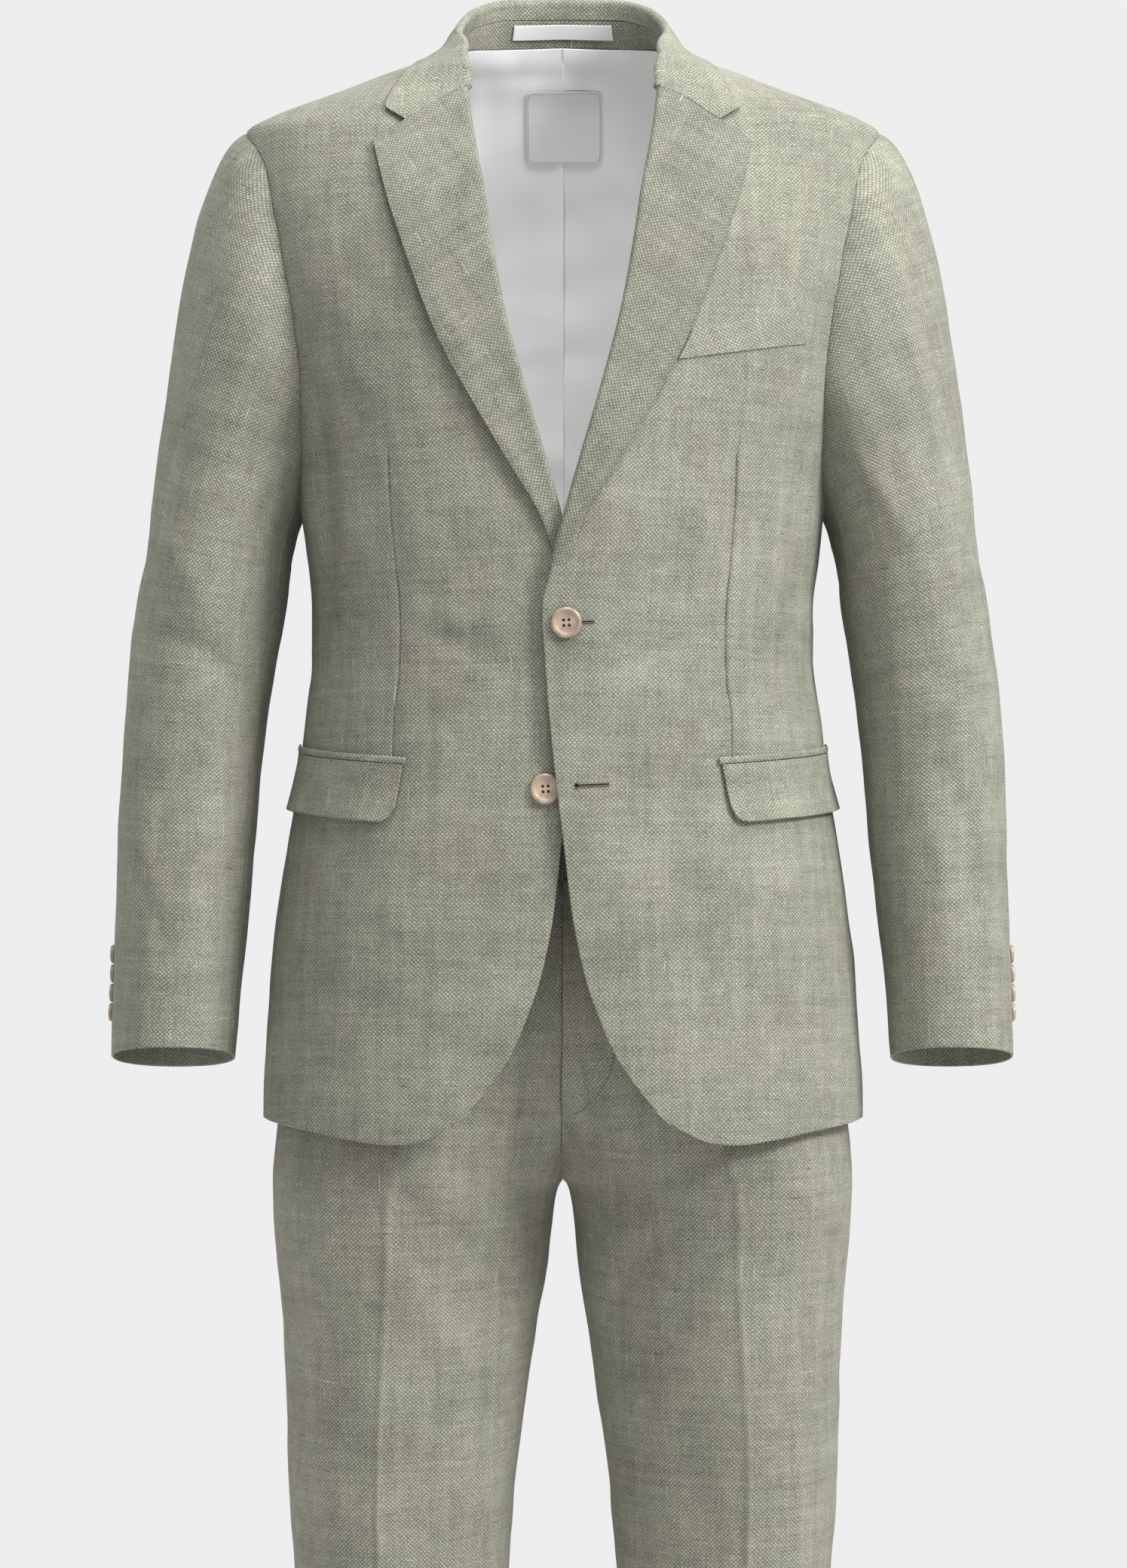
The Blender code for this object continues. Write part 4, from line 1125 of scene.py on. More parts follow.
def back_places(lowest=1.0, seam_tops=False):
    """Angles and heights of half the back, down to a share of its length, or up to the neck's seam alone."""
    columns = refined([0.0, 0.04, 0.10, 0.90, 0.96, 1.0], 1 / 44)
    levels = refined(LEVELS, sizes().grid_step)
    tops = np.interp(columns, (0, 1), (0.0262, FRONT_TOP_Z))
    if seam_tops:
        tops = smooth(NECK_SEAM, 90 * columns, 1) + 0.0005
    bottoms = np.interp(columns, (0, 1), (BACK_HEM_Z, SIDE_HEM_Z))
    levels = levels[levels > levels[-1] + (1 - lowest) * 0.72]
    if lowest == 1.0:
        levels = np.append(levels, LEVELS[-1])
    share = ((levels - LEVELS[0]) / (LEVELS[-1] - LEVELS[0]))[:, None]
    z = tops[None, :] + (bottoms - tops)[None, :] * share
    a1 = back_outer_angle(z[:, -1:])
    return -90.0 + (a1 + 90.0) * columns[None, :], z


def back_grid(side):
    angle, z = back_places()
    half = sizes().seam
    return inset(body(angle, z, body_relief(angle, z, side)), first=half, last=half)


def make_sides_and_back():
    both_sides("side_panel", side_grid)
    both_sides("back", back_grid)


def lining_relief(angle, z, side):
    """The lining hangs in soft upright folds. At the centre the wearer's right half laps the left."""
    x = np.abs(body(angle, z)[..., 0])
    wander = 0.003 * hills(z, 0 * z, 0.08, 2)
    if side > 0:
        folds = -0.0006 * bump(x - 0.030 - wander, 0.012)
    else:
        folds = -0.0017 * bump(x, 0.007) - 0.0005 * bump(x - 0.020, 0.010)
    folds = folds - 0.0011 * bump(x - 0.040 - wander, 0.008) * (0.6 + 0.4 * hills(z, 0 * z, 0.09, 3))
    folds = folds + 0.0009 * bump(x - 0.052 + wander, 0.007) * (0.6 + 0.4 * hills(z, 0 * z, 0.09, 5))
    folds = folds - 0.0010 * bump(x - 0.064, 0.008) * (0.6 + 0.4 * hills(z, 0 * z, 0.07, 4))
    slant = 0.0006 * hills(x * 0.6 - z * 0.5, x + z, 0.020, 8 if side > 0 else 9)
    return folds * ease((0.022 - z) / 0.03) + slant * ease((0.024 - z) / 0.01)


def lining_grid(side):
    angle, z = back_places(lowest=0.965, seam_tops=True)
    relief = body_relief(angle, z, side) + lining_relief(angle, z, side) - sizes().cloth - 0.0006
    grid = body(angle, z, relief)
    return inset(grid, first=-0.0006 if side < 0 else 0.0, last=0.004)


def make_back_lining():
    both_sides("back_lining", lining_grid, sizes().lining, "satin")


def armhole_points(z_front, z_back, side=0):
    """The armhole's edge, front then back, with the way out of the body there."""
    angle = np.concatenate([smooth(ARMHOLE, z_front, 1), smooth(ARMHOLE, z_back, 2)])
    z = np.concatenate([z_front, z_back])
    lift = body_relief(angle, z, side) if side else 0.0 * z
    here = body(angle, z, lift)
    return here, (body(angle, z, lift + 0.001) - here) / 0.001


def armhole_turn(points):
    """How far round the armhole each point lies, in degrees from the shoulder's tip to the front."""
    turn = np.degrees(np.arctan2(-(points[:, 1] - 0.003) / 0.066, (points[:, 2] + 0.170) / 0.132))
    return np.where(turn < -1e-6, turn + 360, turn)


def sleeve_starts(side):
    """The turns of the armhole table's rows, and the close points of its edge with their way out."""
    table = ARMHOLE[::-1]
    coarse = armhole_turn(armhole_points(table[:, 0], table[1:-1, 0][::-1])[0])
    bend = 0.5 - 0.5 * np.cos(np.pi * np.linspace(0, 1, 500))
    z = SHOULDER_TIP_Z + (ARMHOLE[0, 0] - SHOULDER_TIP_Z) * bend
    turn = armhole_turn(armhole_points(z, z[1:-1][::-1])[0])
    points, way = armhole_points(z, z[1:-1][::-1], side)
    order = np.argsort(turn)
    return np.sort(coarse), turn[order], points[order], way[order]


def sleeve_ring(turn, z):
    """A point of the sleeve below the armpit: degrees from the outside round the front, height."""
    turn = np.radians(turn)
    outer, inner = smooth(SLEEVE, z, 1), smooth(SLEEVE, z, 2)
    front, back = smooth(SLEEVE, z, 3), smooth(SLEEVE, z, 4)
    x = (outer + inner) / 2 + (outer - inner) / 2 * power(np.cos(turn), 2 / SLEEVE_POWER)
    off = -(back - front) / 2 * power(np.sin(turn), 2 / SLEEVE_POWER)
    tilt = CUFF_TILT * ease((-0.44 - z) / (-0.44 - CUFF_Z))
    return np.stack([x, (front + back) / 2 + off, z - tilt * off], -1)


def sleeve_cap(start, turn, share):
    """A point of the sleeve head: it leaves the armhole outwards and turns down to the bicep."""
    end = sleeve_ring(turn, BICEP_Z)
    reach = np.linalg.norm(end - start, axis=-1, keepdims=True)
    c, s = np.cos(np.radians(turn)), np.sin(np.radians(turn))
    top = (1 + c) / 2
    leave = np.stack([0.28 + 0.13 * top, -0.22 * s, -0.32 + 0.21 * top], -1) * reach
    arrive = np.stack([0.04 + 0.06 * top, 0 * c, -0.95 + 0.04 * top], -1) * reach
    return (
        (1 + 2 * share) * (1 - share) ** 2 * start
        + share * (1 - share) ** 2 * leave
        + share * share * (3 - 2 * share) * end
        + share * share * (share - 1) * arrive
    )


def sleeve_grid(side, part):
    """Top sleeve over the outside, under sleeve at the body, with seams at the front and the back."""
    coarse, turns, points, ways = sleeve_starts(side)
    inward = points.mean(0) - points
    inward[:, 0] = 0.03
    inward = inward / np.linalg.norm(inward, axis=1, keepdims=True)
    start = points + inward * 0.0002 - ways * 0.0004
    front = int(np.argmin(abs(coarse - SLEEVE_FRONT_TURN)))
    back = int(np.argmin(abs(coarse - SLEEVE_BACK_TURN)))
    if part == "top":
        first = np.concatenate([coarse[back:] - 360, coarse[: front + 1]])
        cuff = (342 - 360, 160)
    else:
        first = coarse[front : back + 1]
        cuff = (160, 342)
    even = np.linspace(*cuff, len(first))
    where = refined(list(np.linspace(0, 1, len(first))), 1 / 56)
    shares = np.linspace(0, 1, len(first))
    first = np.interp(where, shares, first)
    even = np.interp(where, shares, even)
    at = np.mod(first, 360.0)
    start = np.stack([np.interp(at, turns, start[:, k], period=360) for k in range(3)], -1)
    way = np.stack([np.interp(at, turns, ways[:, k], period=360) for k in range(3)], -1)
    # The seam's turning, inside the panels' edge, closes the armhole.
    rows = [start - way * depth + [0.0005, 0, 0] for depth in (0.0034, 0.0020)]
    reliefs = [0.0 * first, 0.0 * first]
    for share in refined([0.0, 0.03, 0.10, 0.22, 0.52, 1.0], 0.022):
        row = sleeve_cap(start, first, share)
        rows.append(row)
        reliefs.append(sleeve_relief(first, row[:, 2], side) * ease(share / 0.25))
    for z in refined([BICEP_Z, CUFF_Z], sizes().grid_step)[1:]:
        part_way = ease((BICEP_Z - z) / (BICEP_Z - CUFF_Z))
        turn = first + (even - first) * part_way
        rows.append(sleeve_ring(turn, z + 0 * turn))
        reliefs.append(sleeve_relief(turn, z + 0 * turn, side))
    grid, relief = np.array(rows), np.array(reliefs)
    grid = grid + normals_of(grid) * relief[..., None]
    half = sizes().seam
    return inset(grid, first=half, last=half)


def make_sleeves():
    both_sides("top_sleeve", lambda side: sleeve_grid(side, "top"))
    both_sides("under_sleeve", lambda side: sleeve_grid(side, "under"))


def hairpin(outer, fold_way, normal, inner, radius):
    """Rows of points: an outside leaf, a round fold at its end, then the leaf behind it."""
    centre = outer[:, -1] - radius * normal
    turns = np.radians(np.linspace(0, 180, 11)[1:-1])
    arc = [centre + radius * (math.cos(a) * normal + math.sin(a) * fold_way) for a in turns]
    return np.concatenate([outer, np.stack(arc, 1), inner], 1)


def lapel_grid(side):
    """The lapel: over the front from its outer edge to the roll line, round it and a little way inside.

    Towards its lower end it sinks into the front, so that the two run into one another."""
    leaf = sizes().leaf
    columns = refined([1.0, 0.985, 0.97, 0.95, 0.92, 0.88, 0.05, 0.0], 1 / 30)
    share = refined([0.0, 0.01, 0.05, 0.88, 1.0], 1 / 100)[:, None]
    top_x = np.append(GORGE[:-1, 0], LAPEL_EDGE[-1, 1])
    top_z = np.append(GORGE[:-1, 1] - 0.0003, LAPEL_EDGE[-1, 0])
    top = front_angle(top_x, top_z)
    tops = np.interp(columns, (top - top[0]) / (top[-1] - top[0]), top_z)
    z = tops + (LAPEL_END_Z - tops) * share
    radius = roll_radius() * (0.35 + 0.65 * ease((z[:, -1:] - LAPEL_END_Z) / 0.045))
    roll_x = smooth(FRONT_EDGE, z[:, -1:], 1) + radius
    roll = front_angle(roll_x, z[:, -1:])
    edge = front_angle(smooth(LAPEL_EDGE, z[:, :1], 1), z[:, :1])
    angle = roll + (edge - roll) * columns
    base = body(angle, z)
    fade = ease((z - LAPEL_SINK_Z) / 0.040)
    high = (LAY_GAP + leaf + 0.0005) * fade - 0.0003 * (1 - fade)
    own = creases(LAPEL_CREASES, base[..., 0] + 0 * z, z, 61 if side > 0 else 71)
    spring = (0.0016 if side > 0 else 0.0030) * ease(columns * 1.3 - 0.2)
    spring = spring * ease((z - LAPEL_SINK_Z) / 0.08) * ease((-0.03 - z) / 0.05)
    width = np.linalg.norm(base[:, :1] - base[:, -1:], axis=-1)
    pressed = (0.0016 if side > 0 else 0.0) * np.exp(-(((1 - columns) * width / 0.0022) ** 2)) * fade
    lifts = front_lift(side, base[..., 0], z) - pressed
    outer = body(angle, z, lifts + high + spring + own * ease(columns * 4) * ease((-0.03 - z) / 0.03))
    normal = body(angle, z, 1.0 + 0 * z)[:, -1] - base[:, -1]
    way = base[:, -1] - base[:, -2]
    way = way - normal * np.sum(way * normal, 1, keepdims=True)
    along = np.gradient(base[:, -1], axis=0)
    along = along / np.linalg.norm(along, axis=1, keepdims=True)
    way = way - along * np.sum(way * along, 1, keepdims=True)
    way = way / np.linalg.norm(way, axis=1, keepdims=True)
    back_x = roll_x + FACING_WIDTH * np.linspace(0.0, 1.0, 9)
    back_z = z[:, -1:] + 0 * back_x
    back_lift = front_lift(side, back_x, back_z)
    inner = body(front_angle(back_x, back_z), back_z, back_lift + high[:, -1:] - 2 * radius)
    return hairpin(outer, way, normal, inner, radius)


def make_lapels():
    # The lapels take the darker copy of the linen, which is painted shade.
    both_sides("lapel", lapel_grid, sizes().leaf, "lapel_linen_painted_shade", grain=LAPEL_GRAIN)


def gorge_share():
    """How far along the collar's front end each point of the gorge table lies, from fold to tip."""
    reach = np.concatenate([[0], np.cumsum(np.hypot(*np.diff(GORGE, axis=0).T))])
    return reach / reach[-1]


def collar_fall(a, share, along):
    """Angle, height and lift of the collar's fall at a share of the way from its fold to its edge."""
    side = np.abs(a)
    edge_a, edge_z = smooth(COLLAR, side, 2), smooth(COLLAR, side, 3)
    near_end = ease((side - GORGE_START_ANGLE) / (NECK_END_ANGLE - GORGE_START_ANGLE))
    fold_z = smooth(COLLAR, side, 1) - COLLAR_ROLL
    z = fold_z + (edge_z - fold_z) * share
    at = side + (edge_a - side) * share
    x_end, z_end = np.interp(share, along, GORGE[:, 0]), np.interp(share, along, GORGE[:, 1])
    at = at + near_end * (90 + float(front_angle(x_end, z_end)) - at[-1])
    z = z + near_end * (z_end - z[-1])
    top_lift = 0.0048 - 0.0020 * ease((side - STAND_END_ANGLE) / 50.0)
    edge_lift = 0.0018 + 0.0012 * near_end
    puff = 0.0030 * math.sin(math.pi * min(1.0, share * 1.1)) * bump(side - 88.0, 28.0)
    lift = top_lift + (edge_lift - top_lift) * ease(share) + puff
    relief = np.where(a < 0, body_relief(-at - 90, z, -1), body_relief(at - 90, z, 1))
    lift = lift + (1 - 0.6 * (1 - ease(share * 4))) * relief
    lap = np.where(a < 0, 0.0, overlap_lift(body(at - 90, z)[..., 0], z))
    return np.sign(a) * at, z, lift + lap


def collar_grid():
    """The collar by angle from the centre back: inside leaf, fold, fall. Its ends lie on the gorge."""
    a = refined([-NECK_END_ANGLE, -TUCK_ANGLE, -158.0, 158.0, TUCK_ANGLE, NECK_END_ANGLE], 2.0)
    side = np.abs(a)
    leaf = smooth(COLLAR, side, 4)
    near_end = ease((side - GORGE_START_ANGLE) / (NECK_END_ANGLE - GORGE_START_ANGLE))
    along = gorge_share()
    at, z, lift = collar_fall(a, 0.0, along)
    radius = COLLAR_ROLL + near_end * (roll_radius() - COLLAR_ROLL)
    low = body(at - 90, z, 0 * a)
    normal = body(at - 90, z, 1.0 + 0 * a) - low
    way = np.gradient(low, axis=0)
    way = way / np.linalg.norm(way, axis=1, keepdims=True)
    up = np.cross(way, normal)
    up = up / np.linalg.norm(up, axis=1, keepdims=True)
    # The last of the roll goes on a little, inside that of the lapel, so that the gorge is closed there.
    tuck = ease((side - TUCK_ANGLE) / 0.2)
    tuck_z = GORGE[0, 1] - 0.0030
    tuck_turn = 90 + front_angle(smooth(FRONT_EDGE, tuck_z, 1) + roll_radius() + 0.0014, tuck_z)
    low = low + (body(np.sign(a) * tuck_turn - 90, tuck_z + 0 * a) - low) * tuck[:, None]
    tight = radius - 0.0009 * tuck
    # Inside, the leaf runs down the neck at the back and away behind the fall at the front.
    front = ease((side - 96.0) / 22.0)[:, None]
    behind = lift - 2 * radius - 0.0002
    rows = []
    for f in (1.0, 0.97, 0.8, 0.6, 0.4, 0.2, 0.0):
        at_back = body(at - 90, z - leaf * f, behind)
        at_front = low - up * (leaf * f)[:, None] + normal * behind[:, None]
        rows.append(at_back * (1 - front) + at_front * front)
    middle = low + normal * (lift - radius)[:, None]
    for turn in np.radians(np.linspace(180, 0, 12)[1:-1]):
        rows.append(middle + tight[:, None] * (math.cos(turn) * normal + math.sin(turn) * up))
    for share in refined([0.0, along[-2], 0.97, 1.0], 0.04):
        at, z, lift = collar_fall(a, share, along)
        rows.append(body(at - 90, z, lift))
    return np.array(rows)


def make_collar():
    grid = collar_grid()
    shell(
        "collar_cloth", grid, sizes().leaf, finish("linen"), "collar",
    )


def stand_point(a, share, lift):
    """A point of the band inside the neck, from its top seam to the neck seam."""
    side = np.abs(a)
    top = smooth(COLLAR, side, 1) - 0.0030 - smooth(COLLAR, side, 4) - 0.0002
    low = smooth(NECK_SEAM, side, 1)
    return body(a - 90, top + (low - top) * share, lift + 0 * a)


def make_collar_stand():
    a = refined([-STAND_END_ANGLE, STAND_END_ANGLE], 2.2)
    grid = np.array([stand_point(a, share, 0.0) for share in np.linspace(0, 1, 9)])
    leaf, rests_on = sizes().leaf, ["back_left", "back_right"]
    shell("collar_stand_cloth", grid, leaf, finish("linen"), "collar_stand")


def make_hanger_band():
    """The plain satin band across the stand, where the jacket hangs on a hook."""
    a = refined([-26.0, 26.0], 1.5)
    rows = [stand_point(a, share, -sizes().leaf - BAND_CLOTH) for share in np.linspace(0.16, 0.67, 8)]
    grid, rests_on = np.array(rows), ["collar_stand"]
    shell("hanger_band_satin", grid, BAND_CLOTH, finish("band"), "hanger_band")


def label_place(x, z, lift):
    """A point on the lining at the back, seen at this place from the front, but lying flatter."""
    angle = -front_angle(x, z)
    near = body_relief(angle, z, 1) - sizes().cloth - sizes().lining - 0.0014
    return body(angle, z, 0.4 * near - 0.6 * LABEL_DEPTH - lift)


LABEL_LEFT, LABEL_RIGHT, LABEL_TOP, LABEL_BOTTOM = 0.0275, -0.0255, 0.0005, -0.0490
LABEL_DEPTH = 0.0046
LABEL_STITCH_IN = 0.00135
LABEL_BLUNT = 16


def make_label_patch():
    """The bare square patch on the lining, round at its corners, with its stitched edge."""
    share = refined([0.0, 0.005, 0.02, 0.98, 0.995, 1.0], 0.04)
    gx, gz = np.meshgrid(
        LABEL_RIGHT + (LABEL_LEFT - LABEL_RIGHT) * share, LABEL_TOP + (LABEL_BOTTOM - LABEL_TOP) * share
    )
    middle_x, middle_z = (LABEL_LEFT + LABEL_RIGHT) / 2, (LABEL_TOP + LABEL_BOTTOM) / 2
    half_x, half_z = (LABEL_LEFT - LABEL_RIGHT) / 2, (LABEL_TOP - LABEL_BOTTOM) / 2
    px, pz = (gx - middle_x) / half_x, (gz - middle_z) / half_z
    blunt = (np.abs(px) ** LABEL_BLUNT + np.abs(pz) ** LABEL_BLUNT) ** (1 / LABEL_BLUNT)
    square = np.maximum(np.maximum(np.abs(px), np.abs(pz)), 1e-6)
    pull = square / np.maximum(blunt, 1e-6)
    gx, gz = middle_x + px * pull * half_x, middle_z + pz * pull * half_z
    grid = label_place(gx, gz, 0.0)
    shell(
        "label_patch_cloth", grid, LABEL_CLOTH, finish("label"), "label_patch",
    )
    inset_by = 1 - LABEL_STITCH_IN / half_x
    turn = np.linspace(0, 2 * math.pi, 241)
    c, s = np.cos(turn), np.sin(turn)
    reach = (np.abs(c) ** LABEL_BLUNT + np.abs(s) ** LABEL_BLUNT) ** (-1 / LABEL_BLUNT) * inset_by
    path = label_place(middle_x + c * reach * half_x, middle_z + s * reach * half_z, 0.0007)
    forward = np.array([0.0, -1.0, 0.0])
    stitches("label_stitching", path, forward, 0.0016, 0.0011, 0.00045, "grey_thread")


def pocket_z(angle):
    """The height of the hip pocket's mouth."""
    return -0.4588 - 0.0090 * angle / 59.0


def on_body(angle, z, lift, side):
    """A point that lies on a front panel with all its relief."""
    x = body(angle, z)[..., 0]
    lap = overlap_lift(x, z) if side > 0 else 0.0
    return body(angle, z, lap + body_relief(angle, z, side) + lift)


def jet_grid(side):
    """The narrow jet over the pocket's mouth."""
    angle = np.linspace(-1.5, 59.5, 70)[None, :]
    share = np.linspace(0, 1, 8)[:, None]
    z = pocket_z(angle) + 0.0046 * (1 - share)
    return on_body(angle, z, LAY_GAP + sizes().cloth + 0.0004 * np.sin(np.pi * share) + 0 * z, side)


FLAP_FRONT_ANGLE = 58.7
FLAP_DEPTH = 0.0390
FLAP_CORNER = 0.0125


def flap_grid(side):
    """The flap hangs from under the jet, with a round lower corner to the front."""
    angle = refined([-2.5, 40.0, 50.0, 56.0, FLAP_FRONT_ANGLE], 1.0)
    top = pocket_z(angle)[None, :] - 0.0003
    front = body(np.array([FLAP_FRONT_ANGLE]), np.array([-0.48]))[0]
    far = np.linalg.norm(body(angle, -0.48 + 0 * angle) - front, axis=-1)
    corner = FLAP_CORNER - np.sqrt(np.maximum(FLAP_CORNER**2 - np.maximum(FLAP_CORNER - far, 0.0) ** 2, 0.0))
    share = np.linspace(0, 1, 20)[:, None]
    z = top + (-FLAP_DEPTH + 0.92 * corner)[None, :] * share
    lean = -1.2 * share * ease((angle - 36) / 22)[None, :]
    own = 0.0006 * hills(angle[None, :] / 300 + 0 * z, z, 0.02, 95 if side > 0 else 97) * share
    stand_off = 0.0016 + 0.0016 * ease((24 - angle) / 20)[None, :]
    lift = LAY_GAP + sizes().cloth + stand_off * share * share + own
    return on_body(angle[None, :] + lean, z, lift + 0 * z, side)


def make_hip_pockets():
    both_sides("pocket_jet", jet_grid)
    both_sides("pocket_flap", flap_grid)


WELT_OUTER_X, WELT_OUTER_Z, WELT_INNER_Z = 0.1626, -0.1662, -0.1790


def make_breast_welt():
    """The welt of the chest pocket, from the lapel's edge outwards."""
    across = np.linspace(0, 1, 40)[None, :]
    down = np.linspace(0, 1, 14)[:, None]
    inner_z = WELT_INNER_Z - 0.0213 * down
    inner_x = smooth(LAPEL_EDGE, inner_z, 1) + 0.0012
    outer_x, outer_z = WELT_OUTER_X - 0.0012 * down, WELT_OUTER_Z - 0.0215 * down
    x = outer_x + (inner_x - outer_x) * across
    z = outer_z + (inner_z - outer_z) * across
    grid = on_body(front_angle(x, z), z, LAY_GAP + 0.00005 + 0 * x, 1)
    shell(
        "breast_welt_cloth", grid, WELT_CLOTH, finish("linen"), "breast_welt",
        grain=10.0,
    )


# The trousers.


def leg(turn, z):
    """A point of a trouser leg: degrees from the outside round the front, height."""
    outer, inner = smooth(LEG, z, 1), smooth(LEG, z, 2)
    front, back = smooth(LEG, z, 3), smooth(LEG, z, 4)
    middle_y, crease = smooth(LEG, z, 5), smooth(LEG, z, 6)
    c, s = np.cos(np.radians(turn)), np.sin(np.radians(turn))
    across = power(c, 2 / LEG_CREASE_POWER)
    middle, half = (outer + inner) / 2, (outer - inner) / 2
    deep = np.where(s > 0, front, back)
    x = middle + half * across + crease * (1 - across * across)
    y = middle_y - deep * power(s, 2 / LEG_SIDE_POWER)
    return np.stack([x, y, z + 0 * x], -1)


def inseam_turn(z):
    """How far round the leg's section reaches before the centre plane or its inside seam."""
    low, high = np.full(z.shape, 60.0), np.full(z.shape, 180.0)
    for _ in range(40):
        mid = (low + high) / 2
        past = leg(mid, z)[..., 0] < 0
        high = np.where(past, mid, high)
        low = np.where(past, low, mid)
    return high


def trouser_levels():
    """Heights of the trouser panels' rows, close together at the crotch."""
    marks = [-0.5453, -0.690, -0.730, -0.744, -0.749, -0.752, -0.758, -0.768, TROUSER_HEM]
    return refined(marks, sizes().grid_step * 1.15)[:, None]


def fly_relief(x, z):
    """How far the fly stands out of the left front: its placket, stitched groove and lap at the centre."""
    far = near_line(FLY_LINE, x, z)
    placket = ease((0.036 - x) / 0.003) * ease((z + 0.702) / 0.004)
    lap = bump(x, 0.012) * ease((z + 0.7505) / 0.006)
    return 0.0008 * placket - 0.0007 * bump(far, 0.0012) + 0.0016 * lap


def trouser_front_grid(side):
    z = trouser_levels()
    share = refined([0.0, 0.02, 0.44, 0.47, 0.5, 0.53, 0.56, 0.98, 1.0], 1 / 64)[None, :]
    turn = inseam_turn(z) * share
    grid = leg(turn, z + 0 * share)
    relief = leg_relief(turn, z + 0 * share, side)
    if side > 0:
        relief = relief + fly_relief(grid[..., 0], grid[..., 2])
    grid = grid + normals_of(grid) * relief[..., None]
    return inset(grid, first=sizes().seam, last=sizes().seam)


def trouser_back_grid(side):
    z = trouser_levels()
    share = refined([0.0, 0.02, 0.44, 0.47, 0.5, 0.53, 0.56, 0.98, 1.0], 1 / 64)[None, ::-1]
    turn = -inseam_turn(z) * share
    grid = leg(turn, z + 0 * share)
    grid = grid + normals_of(grid) * leg_relief(turn, z + 0 * share, side)[..., None]
    return inset(grid, first=sizes().seam, last=sizes().seam)


def waistband_grid(side):
    z = np.linspace(WAISTBAND_TOP, WAISTBAND_SEAM, 12)[:, None]
    share = refined([-1, -0.98, 0.98, 1], 1 / 60)[None, :]
    return inset(leg(inseam_turn(z) * share, z + 0 * share), first=sizes().seam, last=sizes().seam)


def make_trousers():
    both_sides("trouser_front", trouser_front_grid, cloth="trouser_linen")
    both_sides("trouser_back", trouser_back_grid, cloth="trouser_linen")
    both_sides("waistband", waistband_grid, WAISTBAND_CLOTH, grain=90.0)


# Sewing and buttons.


def tube_mesh(paths, radius, sides=6):
    """Points and faces of round-ended threads along the paths."""
    points, faces = [], []
    for path in paths:
        path = np.asarray(path, float)
        along = np.gradient(path, axis=0)
        along = along / np.maximum(np.linalg.norm(along, axis=1, keepdims=True), 1e-12)
        helper = np.where(np.abs(along[:, 2:3]) < 0.9, [[0.0, 0.0, 1.0]], [[1.0, 0.0, 0.0]])
        one = np.cross(along, helper)
        one = one / np.linalg.norm(one, axis=1, keepdims=True)
        two = np.cross(along, one)
        turns = np.linspace(0, 2 * math.pi, sides, endpoint=False)
        ends = np.ones(len(path))
        ends[0] = ends[-1] = 0.45
        ring = path[:, None] + radius * ends[:, None, None] * (
            np.cos(turns)[None, :, None] * one[:, None] + np.sin(turns)[None, :, None] * two[:, None]
        )
        first = len(points)
        points.extend(ring.reshape(-1, 3).tolist())
        for i in range(len(path) - 1):
            for k in range(sides):
                a, b = first + i * sides + k, first + i * sides + (k + 1) % sides
                faces.append([a, b, b + sides, a + sides])
        faces.append([first + k for k in range(sides)][::-1])
        last = first + (len(path) - 1) * sides
        faces.append([last + k for k in range(sides)])
    return points, faces


def add_threads(name, paths, radius, thread, sides=6):
    """All the threads of one piece of sewing, as one mesh."""
    points, faces = tube_mesh(paths, radius, sides)
    obj = add_mesh(name, points, faces, finish=finish(thread))
    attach(obj, "root")


def stitches(name, path, out, pitch, length, width, thread):
    """A row of short stitches along a path, each sinking into the cloth at its ends."""
    path = np.asarray(path, float)
    reach = np.concatenate([[0], np.cumsum(np.linalg.norm(np.diff(path, axis=0), axis=1))])
    out = np.broadcast_to(out, path.shape)
    paths = []
    for start in np.arange(0, reach[-1] - length, pitch):
        at = start + length * np.linspace(0, 1, 4)
        line = np.stack([np.interp(at, reach, path[:, k]) for k in range(3)], -1)
        way = np.stack([np.interp(at, reach, out[:, k]) for k in range(3)], -1)
        dip = np.array([-0.6, 0.3, 0.3, -0.6])[:, None] * width
        paths.append(line + way * dip)
    add_threads(name, paths, width / 2, thread)


def front_point(side, x, z, lift):
    """A place on the outside of a front, and the way out of it."""
    angle = front_angle(np.asarray(x, float), np.asarray(z, float))
    total = front_lift(side, np.asarray(x, float), np.asarray(z, float)) + lift
    here = body(angle, np.asarray(z, float), total)
    over = body(angle, np.asarray(z, float), total + 0.001)
    way = (over - here) / 0.001
    flip = np.array([1.0 if side > 0 else -1.0, 1.0, 1.0])
    return here * flip, way * flip


